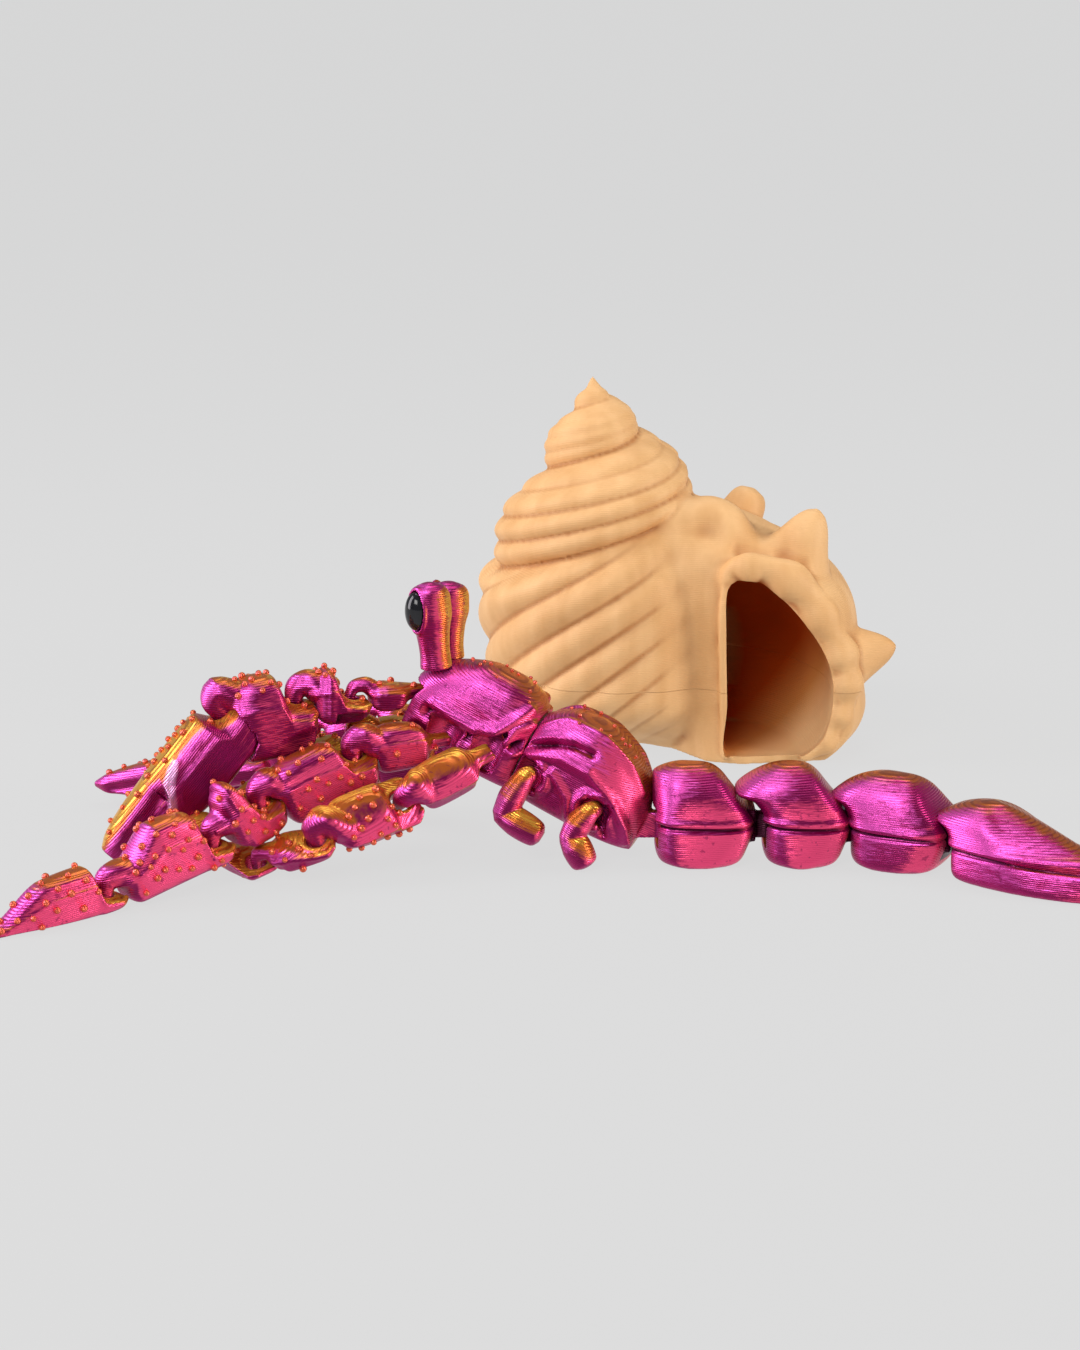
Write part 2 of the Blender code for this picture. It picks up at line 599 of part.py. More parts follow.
def small_leg_socket(forward, side):
    return body_frame() @ Vector((forward, (BODY["half_width"] - 0.6) * side, -3.4))


def small_leg(name, forward, side, knee, tip):
    frame = body_frame()
    frame.translation = small_leg_socket(forward, side)
    knee = Vector((knee[0], knee[1] * side, knee[2]))
    tip = Vector((tip[0], tip[1] * side, tip[2]))
    path = (Vector((0.0, -0.8 * side, 0.0)), Vector((0.3, 2.2 * side, 0.3)),
            knee * 0.6 + Vector((0.4, 0.8 * side, 0.4)), knee, knee.lerp(tip, 0.35), tip)
    bar(name, path, (1.4, 1.5, 1.9, 1.8, 2.4, 1.8), frame, sides=7)
    stand_on_table(bpy.data.objects[name])


# ---------------------------------------------------------------- shell

def between(table, x):
    """Straight interpolation in a table of (x, value) pairs."""
    if x <= table[0][0]:
        return table[0][1]
    for (x0, y0), (x1, y1) in zip(table, table[1:]):
        if x <= x1:
            return y0 + (y1 - y0) * (x - x0) / (x1 - x0)
    return table[-1][1]


def suture_drop(turns):
    """Distance of the suture from the tip after some half turns."""
    table = [(i - 1, drop) for i, drop in enumerate(SUTURES)]
    if turns > table[-1][0]:
        return table[-1][1] - (turns - table[-1][0]) * 11.8  # it climbs again behind the shell
    return between(table, turns)


def shell_radius(angle, height):
    """Radius of the shell's outer surface about its leaning axis.

    angle runs from -59 at the crease beside the columella, over the mouth at about -35 and the
    right side at 0, round the back at 90 and the left side at 180, to 301 at the crease again.
    """
    depth = SHELL["tip"][2] - height
    guess = SHELL["slope"] * depth
    drop = depth + SHELL["lean"] * guess * math.cos(math.radians(angle))
    drop = max(drop, 0.0)
    # half turns gained since the right side: the whorls go down clockwise seen from above
    turn = (360.0 - angle) / 180.0 if angle > 0 else -angle / 180.0
    # turn runs 0 (right), 0.5 (front), 1 (left), 1.5 (back), 2 (right again)
    upper = None
    for whorl in range(-1, 3):
        level = suture_drop(2 * whorl + turn)
        if level <= drop:
            upper = (2 * whorl + turn, level)
    if upper is None:
        return max(SHELL["slope"] * drop, 0.05)
    turns, level = upper
    start = SHELL["slope"] * level
    if turns < 4.0:
        lower = suture_drop(turns + 2)
        share = min((drop - level) / max(lower - level, 0.1), 1.0)
        return start + (SHELL["whorl_slope"] * lower - start) * (1.0 - (1.0 - share) ** 2.6)
    return start + (last_whorl_radius(angle) - start) * last_whorl_rise(angle, drop - level, height)


def last_whorl_radius(angle):
    if angle >= LIP_ANGLE:
        return between(LAST_WHORL, angle)
    if angle > COLUMELLA_ANGLE:
        return min(MOUTH_PLANE / math.sin(math.radians(-angle)), LAST_WHORL[0][1])
    share = (angle - CREASE_ANGLE) / (COLUMELLA_ANGLE - CREASE_ANGLE)
    edge = MOUTH_PLANE / math.sin(math.radians(-COLUMELLA_ANGLE))
    return LAST_WHORL[-1][1] + (edge - LAST_WHORL[-1][1]) * max(share, 0.0)


def last_whorl_rise(angle, below, height):
    """Share of the last whorl's radius reached, from its suture down to the table."""
    round_side = 0.5 + 0.5 * math.cos(math.radians(angle))  # 1 on the right, 0 on the left
    run = 7.0 + 22.0 * round_side
    rise = 1.0 - max(1.0 - below / run, 0.0) ** 2.4
    start = 22.0 - 10.0 * round_side
    if height < start:
        rise *= 1.0 - (1.0 - between(TUCK, angle)) * (1.0 - height / start) ** 2.2
    return rise


def shell_axis(height):
    tip = SHELL["tip"]
    return Vector((tip[0] + SHELL["lean"] * (tip[2] - height), tip[1], height))


def level_direction(angle):
    return Vector((math.cos(math.radians(angle)), math.sin(math.radians(angle)), 0.0))


def shell_body():
    count, levels = SHELL["angles"], SHELL["levels"]
    special = [CREASE_ANGLE, CREASE_ANGLE + 5, COLUMELLA_ANGLE, -42.0, -34.0, -27.0, LIP_ANGLE]
    span = 360.0 + CREASE_ANGLE - LIP_ANGLE
    rest = count - len(special)
    angles = special + [LIP_ANGLE + span * (i + 1) / (rest + 1) for i in range(rest)]
    bm = bmesh.new()
    rings = []
    for level in range(levels):
        share = level / levels
        height = SHELL["tip"][2] * (share * 0.6 + 0.4 * share * share * (3 - 2 * share))
        centre = shell_axis(height)
        rings.append([
            centre + level_direction(a) * shell_radius(a, height)
            for a in angles])
    tip = Vector(SHELL["tip"])
    rings.append([tip + level_direction(a) * 0.4 for a in angles])
    skin(bm, rings)
    return mesh_object("shell_form", bm, None, TAN_PLASTIC)


def shell_cavity():
    """The hollow: the mouth's outline led back and round to the left behind the columella."""
    middle = Vector((54.0, 0.0, 20.0))
    route = (  # forward-back place, sideways shift, growth, turn of the section
        (58.0, (0.0, 0.0), 1.0, 0.0), (72.0, (0.0, 0.0), 1.0, 0.0), (86.0, (-1.5, 0.0), 1.0, 8.0),
        (101.0, (-9.0, 0.4), 0.96, 30.0), (110.0, (-24.0, 1.0), 0.8, 62.0), (110.0, (-40.0, 1.5), 0.66, 95.0),
        (102.0, (-50.0, 2.0), 0.46, 125.0))
    bm = bmesh.new()
    rings = []
    for y, (shift, lift), growth, turned in route:
        spin = Matrix.Rotation(math.radians(turned), 3, "Z")
        ring = []
        for across, up in MOUTH:
            flat = Vector((across - middle.x, 0.0, (up - middle.z)))
            spun = spin @ (flat * growth)
            ring.append(Vector((middle.x + shift + spun.x, y + spun.y, max(middle.z + lift + spun.z, 1.8))))
        rings.append(ring)
    skin(bm, rings)
    return mesh_object("shell_cavity", bm)


def spike(name, root, tip, radius):
    """A blunt cone whose root stays inside the shell's wall."""
    return bar(name, [Vector(root).lerp(Vector(tip), share) for share in (0.0, 0.45, 0.85, 1.0)],
               [radius * share for share in (1.0, 0.66, 0.3, 0.12)], None, sides=8)


def shell():
    """Two printed halves that meet at a level seam."""
    seam = SHELL["seam"]
    halves = (("shell_upper", (-60, 20, seam + GAP / 2), (130, 200, 120)),
              ("shell_lower", (-60, 20, -5), (130, 200, seam - GAP / 2)))
    cavity = shell_cavity()
    for name, low, high in halves:
        half = shell_body()
        half.name = name
        half.data.name = name
        for index, values in enumerate(SPIKES):
            combine(half, spike(f"{name}_spike_{index}", *values), "UNION")
        combine(half, cavity, "DIFFERENCE")
        combine(half, box(name + "_room", low, high), "INTERSECT")


# ---------------------------------------------------------------- build

def clear_scene():
    for found in list(bpy.data.objects):
        bpy.data.objects.remove(found, do_unlink=True)


def centre_over_origin():
    """Brings the middle of the whole part's footprint to the origin."""
    shift = Vector(FOOTPRINT_MIDDLE) * -MM
    for found in bpy.data.objects:
        found.location += shift


def main():
    clear_scene()
    front_body()
    tail()
    for label, side, lean in EYESTALKS:
        eyestalk(label, side, lean)
    for name, (root, links) in LIMBS.items():
        limb(name, root, links)
        if name in HANDS:
            hand(name, HANDS[name])
    for pair in TRIMS:
        trim(*pair)
    free_the_roots()
    for values in SMALL_LEGS:
        small_leg(*values)
    shell()
    centre_over_origin()


main()
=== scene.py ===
import math
import random

import bpy
import numpy as np
from mathutils import Matrix, Vector


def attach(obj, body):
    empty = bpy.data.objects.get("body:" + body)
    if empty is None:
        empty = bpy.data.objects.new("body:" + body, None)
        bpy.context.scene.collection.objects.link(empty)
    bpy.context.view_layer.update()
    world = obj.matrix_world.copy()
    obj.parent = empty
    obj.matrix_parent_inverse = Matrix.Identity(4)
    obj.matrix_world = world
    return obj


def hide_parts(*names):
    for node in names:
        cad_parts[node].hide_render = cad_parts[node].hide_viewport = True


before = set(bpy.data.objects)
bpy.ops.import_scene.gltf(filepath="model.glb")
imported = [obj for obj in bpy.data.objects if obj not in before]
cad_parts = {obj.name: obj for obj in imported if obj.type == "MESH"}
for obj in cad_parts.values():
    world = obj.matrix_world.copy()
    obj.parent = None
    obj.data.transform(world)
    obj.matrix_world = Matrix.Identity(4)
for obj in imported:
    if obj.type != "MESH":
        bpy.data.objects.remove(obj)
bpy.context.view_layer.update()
scene = bpy.context.scene
layout = Vector((-4.75, -43.05, 0.0))  # millimetres; where the layout's own zero lies in the frame
random.seed(11)
print("frame loaded:", len(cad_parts), "nodes")


# ---- camera, lights and floor ----

studio = {
    "lens": 100.0,
    "cameraPlace": (0.0, -0.582, 0.183),
    "cameraTilt": 76.0,
    "backdropGrey": 0.712,
    "worldStrength": 0.24,
    "worldColour": (0.92, 0.95, 1.0, 1),
    "floorBase": 0.045,
    "floorGlow": 0.935,
}
# place, aim, size, power and colour of each light
softboxes = {
    "leftBox": ((-0.62, -0.02, 0.30), (0, 0, 0.03), (0.30, 0.62), 3.8, (1.0, 0.95, 1.0)),
    "rightBox": ((0.66, -0.22, 0.16), (0, 0, 0.03), (0.24, 0.46), 3.4, (1.0, 0.94, 0.9)),
    "frontFill": ((-0.34, -0.82, 0.66), (0, 0, 0.03), (0.6, 0.4), 6.4, (1.0, 0.99, 0.97)),
    "topLight": ((0.05, 0.2, 0.7), (0, 0, 0), (0.5, 0.4), 1.6, (1.0, 1.0, 1.0)),
}


def deselectAll():
    if bpy.context.object and bpy.context.object.mode != "OBJECT":
        bpy.ops.object.mode_set(mode="OBJECT")
    bpy.ops.object.select_all(action="DESELECT")


def pickUp(piece):
    deselectAll()
    piece.select_set(True)
    bpy.context.view_layer.objects.active = piece


def addSoftbox(name, place, aim, size, power, colour):
    deselectAll()
    bpy.ops.object.light_add(type="AREA", location=place)
    light = bpy.context.object
    light.name = name
    light.data.shape = "RECTANGLE"
    light.data.size, light.data.size_y = size
    light.data.energy = power
    light.data.color = colour
    light.rotation_euler = (Vector(aim) - Vector(place)).to_track_quat("-Z", "Y").to_euler()
    return light


def buildStudio():
    deselectAll()
    place = Vector(studio["cameraPlace"]) + layout * 0.001
    bpy.ops.object.camera_add(location=place, rotation=(math.radians(studio["cameraTilt"]), 0.0, 0.0))
    camera = bpy.context.object
    camera.name = "camera"
    camera.data.lens = studio["lens"]
    camera.data.sensor_fit = "HORIZONTAL"
    camera.data.sensor_width = 36.0
    camera.data.clip_start = 0.01
    camera.data.clip_end = 60.0
    scene.camera = camera
    for name, row in softboxes.items():
        addSoftbox(name, *row)
    world = bpy.data.worlds.new("studioWorld")
    scene.world = world
    world.use_nodes = True
    nodes, links = world.node_tree.nodes, world.node_tree.links
    nodes.clear()
    out = nodes.new("ShaderNodeOutputWorld")
    seen = nodes.new("ShaderNodeBackground")
    lit = nodes.new("ShaderNodeBackground")
    mix = nodes.new("ShaderNodeMixShader")
    path = nodes.new("ShaderNodeLightPath")
    grey = studio["backdropGrey"]
    seen.inputs["Color"].default_value = (grey, grey, grey, 1)
    lit.inputs["Color"].default_value = studio["worldColour"]
    lit.inputs["Strength"].default_value = studio["worldStrength"]
    links.new(path.outputs["Is Camera Ray"], mix.inputs["Fac"])
    links.new(lit.outputs[0], mix.inputs[1])
    links.new(seen.outputs[0], mix.inputs[2])
    links.new(mix.outputs[0], out.inputs["Surface"])
    scene.view_settings.view_transform = "Standard"
    scene.view_settings.look = "None"
    # the floor glows a little so that it keeps the backdrop's grey and only takes soft shadows
    deselectAll()
    bpy.ops.mesh.primitive_plane_add(size=40.0, location=(0, 0, -0.0002))
    floor = bpy.context.object
    floor.name = "floor"
    paint, _, shader = newMaterial("floorPaper")
    shader.inputs["Base Color"].default_value = (*[studio["floorBase"]] * 3, 1)
    shader.inputs["Roughness"].default_value = 0.9
    shader.inputs["Specular IOR Level"].default_value = 0.0
    shader.inputs["Emission Color"].default_value = (grey, grey, grey, 1)
    shader.inputs["Emission Strength"].default_value = studio["floorGlow"]
    floor.data.materials.append(paint)


# ---- modelling tools ----

def applyModifiers(piece):
    pickUp(piece)
    for modifier in list(piece.modifiers):
        bpy.ops.object.modifier_apply(modifier=modifier.name)
    return piece


def growRings(name, rings):
    # a flat polygon is drawn up ring by ring, and each ring is then laid where it belongs
    count = len(rings[0])
    deselectAll()
    bpy.ops.mesh.primitive_circle_add(vertices=count, radius=1.0, fill_type="NGON")
    piece = bpy.context.object
    piece.name = name
    bpy.ops.object.mode_set(mode="EDIT")
    bpy.ops.mesh.select_all(action="SELECT")
    for _ in rings[1:]:
        bpy.ops.mesh.extrude_region_move(TRANSFORM_OT_translate={"value": (0, 0, 1)})
    bpy.ops.object.mode_set(mode="OBJECT")
    for vert in piece.data.vertices:
        turn = math.atan2(vert.co.y, vert.co.x) / (2 * math.pi) * count
        vert.co = rings[round(vert.co.z)][round(turn) % count]
    bpy.ops.object.mode_set(mode="EDIT")
    bpy.ops.mesh.select_all(action="SELECT")
    bpy.ops.mesh.normals_make_consistent(inside=False)
    bpy.ops.object.mode_set(mode="OBJECT")
    return piece


def joinInto(piece, others):
    if not others:
        return piece
    pickUp(piece)
    for other in others:
        other.select_set(True)
    bpy.ops.object.join()
    return piece


def fuse(piece, voxel=0.35):
    modifier = piece.modifiers.new("fuse", "REMESH")
    modifier.mode = "VOXEL"
    modifier.voxel_size = voxel
    return applyModifiers(piece)


def relax(piece, factor=0.5, repeat=3):
    modifier = piece.modifiers.new("relax", "SMOOTH")
    modifier.factor = factor
    modifier.iterations = repeat
    return applyModifiers(piece)


def carve(piece, cutter, operation="DIFFERENCE"):
    modifier = piece.modifiers.new("carve", "BOOLEAN")
    modifier.operation = operation
    modifier.solver = "EXACT"
    modifier.object = cutter
    applyModifiers(piece)
    bpy.data.objects.remove(cutter, do_unlink=True)
    return piece


def addRod(name, place, radius, depth):
    deselectAll()
    bpy.ops.mesh.primitive_cylinder_add(vertices=24, radius=radius, depth=depth, location=place)
    rod = bpy.context.object
    rod.name = name
    bpy.ops.object.transform_apply(location=True, rotation=True, scale=True)
    return rod


def addBox(name, low, high):
    deselectAll()
    middle = [(a + b) / 2 for a, b in zip(low, high)]
    bpy.ops.mesh.primitive_cube_add(size=1.0, location=middle)
    box = bpy.context.object
    box.name = name
    box.scale = [b - a for a, b in zip(low, high)]
    bpy.ops.object.transform_apply(location=True, rotation=True, scale=True)
    return box


def sectionRing(x, half, low, high, shoulder, count):
    # upright section: boxy below the shoulder, domed above it
    middle = low + (high - low) * shoulder
    ring = []
    for i in range(count):
        angle = 2 * math.pi * i / count
        c, s = math.cos(angle), math.sin(angle)
        power = 2.0 / (2.4 if s >= 0 else 5.0)
        y = half * math.copysign(abs(c) ** power, c)
        rise = (high - middle) if s >= 0 else (middle - low)
        ring.append(Vector((x, y, middle + rise * math.copysign(abs(s) ** power, s))))
    return ring


def spline(table, x):
    # smooth interpolation in a table of rows whose first entry is the place
    if x <= table[0][0]:
        return table[0][1:]
    if x >= table[-1][0]:
        return table[-1][1:]
    for i in range(len(table) - 1):
        if table[i][0] <= x <= table[i + 1][0]:
            before, start, end, after = (table[max(i - 1, 0)], table[i], table[i + 1],
                                         table[min(i + 2, len(table) - 1)])
            width = end[0] - start[0]
            t = (x - start[0]) / width
            values = []
            for a, b, c, d in zip(before[1:], start[1:], end[1:], after[1:]):
                leave = (c - a) / max(end[0] - before[0], 1e-6) * width
                arrive = (d - b) / max(after[0] - start[0], 1e-6) * width
                if (c - b) * leave <= 0:
                    leave = 0.0
                if (c - b) * arrive <= 0:
                    arrive = 0.0
                leave = math.copysign(min(abs(leave), 3 * abs(c - b)), leave)
                arrive = math.copysign(min(abs(arrive), 3 * abs(c - b)), arrive)
                values.append((2 * t ** 3 - 3 * t ** 2 + 1) * b + (t ** 3 - 2 * t ** 2 + t) * leave
                              + (3 * t ** 2 - 2 * t ** 3) * c + (t ** 3 - t ** 2) * arrive)
            return values


def tubeRings(path, radii, sides=12, steps=4):
    # rings of a rod that follows a path with changing thickness
    rows = []
    length = 0.0
    for i, point in enumerate(path):
        if i:
            length += (Vector(point) - Vector(path[i - 1])).length
        rows.append((length, *point, radii[i]))
    samples = [rows[0][0] + (rows[-1][0] - rows[0][0]) * i / ((len(path) - 1) * steps)
               for i in range((len(path) - 1) * steps + 1)]
    places = [spline(rows, s) for s in samples]
    rings = []
    for i, (px, py, pz, radius) in enumerate(places):
        before, after = places[max(i - 1, 0)], places[min(i + 1, len(places) - 1)]
        along = (Vector(after[:3]) - Vector(before[:3])).normalized()
        across = along.cross(Vector((0, 1, 0)))
        if across.length < 0.1:
            across = along.cross(Vector((1, 0, 0)))
        across.normalize()
        other = along.cross(across)
        rings.append([Vector((px, py, pz)) + across * radius * math.cos(2 * math.pi * k / sides)
                      + other * radius * math.sin(2 * math.pi * k / sides) for k in range(sides)])
    return rings


def pose(origin, heading=0.0, pitch=0.0, roll=0.0):
    turn, rise = math.radians(heading), math.radians(pitch)
    forward = Vector((-math.cos(turn) * math.cos(rise), -math.sin(turn) * math.cos(rise), math.sin(rise)))
    left = Vector((math.sin(turn), -math.cos(turn), 0.0))
    up = forward.cross(left)
    place = Matrix((forward, left, up)).transposed().to_4x4() @ Matrix.Rotation(math.radians(-roll), 4, "X")
    place.translation = Vector(origin)
    return place


# ---- materials ----

def newMaterial(name):
    material = bpy.data.materials.new(name)
    material.use_nodes = True
    return material, material.node_tree, material.node_tree.nodes["Principled BSDF"]


def objectPlace(tree):
    return tree.nodes.new("ShaderNodeTexCoord").outputs["Object"]


def painted(tree, name):
    # a value stored on the piece's vertices
    node = tree.nodes.new("ShaderNodeAttribute")
    node.attribute_name = name
    return node.outputs["Fac"]


def noiseNode(tree, vector, scale, detail, roughness=0.5):
    node = tree.nodes.new("ShaderNodeTexNoise")
    for name, value in (("Scale", scale), ("Detail", detail), ("Roughness", roughness)):
        node.inputs[name].default_value = value
    tree.links.new(vector, node.inputs["Vector"])
    return node.outputs["Fac"]


def mathNode(tree, operation, *values):
    node = tree.nodes.new("ShaderNodeMath")
    node.operation = operation
    for socket, value in zip(node.inputs, values):
        if isinstance(value, (int, float)):
            socket.default_value = value
        else:
            tree.links.new(value, socket)
    return node.outputs[0]


def rampNode(tree, factor, stops):
    node = tree.nodes.new("ShaderNodeValToRGB")
    ramp = node.color_ramp
    while len(ramp.elements) > 1:
        ramp.elements.remove(ramp.elements[-1])
    ramp.elements[0].position, ramp.elements[0].color = stops[0][0], (*stops[0][1], 1)
    for position, colour in stops[1:]:
        ramp.elements.new(position).color = (*colour, 1)
    tree.links.new(factor, node.inputs["Fac"])
    return node.outputs["Color"]


def fadeIn(tree, factor, low, high, top=1.0):
    # nothing below low, and top from high onwards
    return rampNode(tree, factor, [(low, (0, 0, 0)), (high, (top, top, top))])


def mixColour(tree, factor, one, other):
    node = tree.nodes.new("ShaderNodeMix")
    node.data_type = "RGBA"
    for name, value in (("Factor", factor), ("A", one), ("B", other)):
        if isinstance(value, tuple):
            node.inputs[name].default_value = (*value, 1)
        else:
            tree.links.new(value, node.inputs[name])
    return node.outputs["Result"]


def layerWave(tree, layer, height):
    # one wave for each printed line
    return mathNode(tree, "SINE", mathNode(tree, "MULTIPLY", layer, 2 * math.pi / height))


def finishShader(tree, shader, colour, sockets):
    tree.links.new(colour, shader.inputs["Base Color"])
    for name, value in sockets.items():
        shader.inputs[name].default_value = value


def addRelief(tree, shader, height, strength, distance):
    bump = tree.nodes.new("ShaderNodeBump")
    bump.inputs["Strength"].default_value = strength
    bump.inputs["Distance"].default_value = distance
    tree.links.new(height, bump.inputs["Height"])
    tree.links.new(bump.outputs[0], shader.inputs["Normal"])


silk = {
    "layerHeight": 0.4, "lineDepth": 0.00007, "lineStrength": 0.5,
    "streakScale": (400.0, 400.0, 4.2),  # across the piece, and from line to line
    "jag": 0.26,  # how far the streaks fray the border between two colours
    "pitShadeScale": 900.0, "pitShadeShare": 0.5,
    "magenta": (0.40, 0.004, 0.13), "deepMagenta": (0.20, 0.001, 0.065), "salmon": (0.92, 0.07, 0.21),
    "violetPink": (0.80, 0.085, 0.48), "orange": (0.56, 0.13, 0.02), "gold": (0.80, 0.40, 0.05),
    "knob": (0.80, 0.16, 0.05), "lilacHighlight": (0.80, 0.42, 0.72), "ring": (0.22, 0.03, 0.01),
    "shadow": (0.05, 0.001, 0.018),
    "sockets": {"Roughness": 0.3, "Metallic": 0.7},
}
# the silk's painted highlights and its gold, in the order they are laid on: lobe, where it starts and is
# full, colour
silkTones = (("salmon", 0.86, 0.93, "salmon"), ("violet", 0.86, 0.94, "violetPink"),
             ("gold", 0.78, 0.88, "orange"), ("gold", 0.96, 1.04, "gold"))


def makeSilk():
    material, tree, shader = newMaterial("magentaGoldSilk")
    place, layer = objectPlace(tree), painted(tree, "layer")
    # streaks: long along a printed line, and changing from line to line
    parts = tree.nodes.new("ShaderNodeSeparateXYZ")
    tree.links.new(place, parts.inputs[0])
    joined = tree.nodes.new("ShaderNodeCombineXYZ")
    sources = (parts.outputs["X"], parts.outputs["Y"], layer)
    for socket, source, scale in zip(joined.inputs, sources, silk["streakScale"]):
        tree.links.new(mathNode(tree, "MULTIPLY", source, scale), socket)
    streak = noiseNode(tree, joined.outputs[0], 1.0, 3.0, 0.6)
    jag = mathNode(tree, "MULTIPLY", mathNode(tree, "SUBTRACT", streak, 0.5), silk["jag"])

    def frayed(name, low, high, top=1.0):
        return fadeIn(tree, mathNode(tree, "ADD", painted(tree, name), jag), low, high, top)

    # painted shade: a surface that faces the camera turns deep magenta
    colour = mixColour(tree, frayed("facing", 0.80, 0.97), silk["magenta"], silk["deepMagenta"])
    # painted highlights, and the orange and gold of the silk's second colour, each by the way a surface faces
    for name, low, high, tone in silkTones:
        colour = mixColour(tree, frayed(name, low, high), colour, silk[tone])
    colour = mixColour(tree, mathNode(tree, "MULTIPLY", painted(tree, "bump"), 0.8), colour, silk["knob"])
    # painted shade in small pits, and the printed lines that show as rings on a nearly level top
    wave = layerWave(tree, layer, silk["layerHeight"])
    pits = fadeIn(tree, noiseNode(tree, place, silk["pitShadeScale"], 2.0), 0.64, 0.68)
    colour = mixColour(tree, mathNode(tree, "MULTIPLY", pits, silk["pitShadeShare"]), colour, silk["deepMagenta"])
    level = fadeIn(tree, painted(tree, "level"), 0.75, 0.92)
    ringed = mathNode(tree, "MULTIPLY", level, fadeIn(tree, wave, 0.2, 0.8, 0.55))
    colour = mixColour(tree, ringed, colour, silk["ring"])
    # painted highlight along the ridge of a claw
    colour = mixColour(tree, frayed("pale", 0.3, 0.9, 0.9), colour, silk["lilacHighlight"])
    hollow = rampNode(tree, painted(tree, "hollow"),
                      [(0.1, (0, 0, 0)), (0.7, (0.8, 0.8, 0.8)), (1.0, (1, 1, 1))])
    colour = mixColour(tree, hollow, colour, silk["shadow"])
    finishShader(tree, shader, colour, silk["sockets"])
    addRelief(tree, shader, mathNode(tree, "MULTIPLY_ADD", streak, 1.2, wave), silk["lineStrength"],
              silk["lineDepth"])
    return material


tan = {
    "layerHeight": 0.4, "lineDepth": 0.00005, "lineStrength": 0.35,
    "cloudScale": 60.0, "growthScale": (210.0, 210.0, 26.0),
    "light": (0.77, 0.46, 0.205), "dark": (0.66, 0.36, 0.14), "valleyShade": (0.42, 0.17, 0.05),
    "insideLight": (1.0, 0.68, 0.34), "insideMiddle": (0.66, 0.27, 0.07), "insideDark": (0.50, 0.07, 0.002),
    "sockets": {"Roughness": 0.55, "Specular IOR Level": 0.35},
}


def makeTan():
    material, tree, shader = newMaterial("tanPlastic")
    place, layer = objectPlace(tree), painted(tree, "layer")
    # pale upright growth streaks, painted shade in dips of the surface, and painted light and shade inside
    # the opening
    cloud = noiseNode(tree, place, tan["cloudScale"], 4.0)
    stretch = tree.nodes.new("ShaderNodeVectorMath")
    stretch.operation = "MULTIPLY"
    stretch.inputs[1].default_value = tan["growthScale"]
    tree.links.new(place, stretch.inputs[0])
    growth = noiseNode(tree, stretch.outputs[0], 1.0, 3.0)
    blend = mathNode(tree, "MULTIPLY_ADD", growth, 0.6, mathNode(tree, "MULTIPLY", cloud, 0.4))
    colour = rampNode(tree, blend, [(0.35, tan["dark"]), (0.62, tan["light"])])
    # painted shade where the surface dips
    colour = mixColour(tree, fadeIn(tree, painted(tree, "hollow"), 0.04, 0.6, 0.85), colour, tan["valleyShade"])
    # painted light and shade inside the opening: lit towards the lower right, deep red-brown shade towards
    # the upper left
    inner = rampNode(tree, painted(tree, "shade"),
                     [(0.05, tan["insideLight"]), (0.45, tan["insideMiddle"]), (0.9, tan["insideDark"])])
    colour = mixColour(tree, painted(tree, "inside"), colour, inner)
    finishShader(tree, shader, colour, tan["sockets"])
    wave = mathNode(tree, "MULTIPLY_ADD", growth, 3.0, layerWave(tree, layer, tan["layerHeight"]))
    addRelief(tree, shader, wave, tan["lineStrength"], tan["lineDepth"])
    return material


eyeBlack = {
    "dark": (0.003, 0.003, 0.004), "light": (0.012, 0.012, 0.016), "cloudScale": 300.0,
    "sockets": {"Roughness": 0.1, "Specular IOR Level": 0.3, "Coat Weight": 0.2},
}


def makeEyeBlack():
    material, tree, shader = newMaterial("eyeBlack")
    cloud = noiseNode(tree, objectPlace(tree), eyeBlack["cloudScale"], 2.0)
    colour = rampNode(tree, cloud, [(0.3, eyeBlack["dark"]), (0.7, eyeBlack["light"])])
    finishShader(tree, shader, colour, eyeBlack["sockets"])
    return material


buildStudio()
silkMaterial, tanMaterial, eyeMaterial = makeSilk(), makeTan(), makeEyeBlack()
print("studio and materials ready")


# ---- bumps, and the last steps of every piece ----

def readSurface(piece):
    # every vertex's place and normal
    mesh = piece.data
    count = len(mesh.vertices)
    points, normals = np.zeros(count * 3), np.zeros(count * 3)
    mesh.vertices.foreach_get("co", points)
    mesh.vertex_normals.foreach_get("vector", normals)
    return points.reshape(-1, 3), normals.reshape(-1, 3)


def movePoints(piece, points):
    piece.data.vertices.foreach_set("co", points.ravel())
    piece.data.update()
    return piece


def distanceFrom(points, route):
    # how far each point lies from a line through the route's places
    nearest = np.full(len(points), 1e9)
    route = np.array(route, float)
    for start, end in zip(route, route[1:]):
        run = end - start
        share = np.clip(((points - start) @ run) / max(run @ run, 1e-9), 0, 1)
        nearest = np.minimum(nearest, np.linalg.norm(points - start - share[:, None] * run, axis=1))
    return nearest


def storeFloat(piece, name, values):
    mesh = piece.data
    attribute = mesh.attributes.get(name) or mesh.attributes.new(name, "FLOAT", "POINT")
    attribute.data.foreach_set("value", np.asarray(values, np.float32))


def readFloat(piece, name):
    attribute = piece.data.attributes.get(name)
    values = np.zeros(len(piece.data.vertices), np.float32)
    if attribute:
        attribute.data.foreach_get("value", values)
    return values


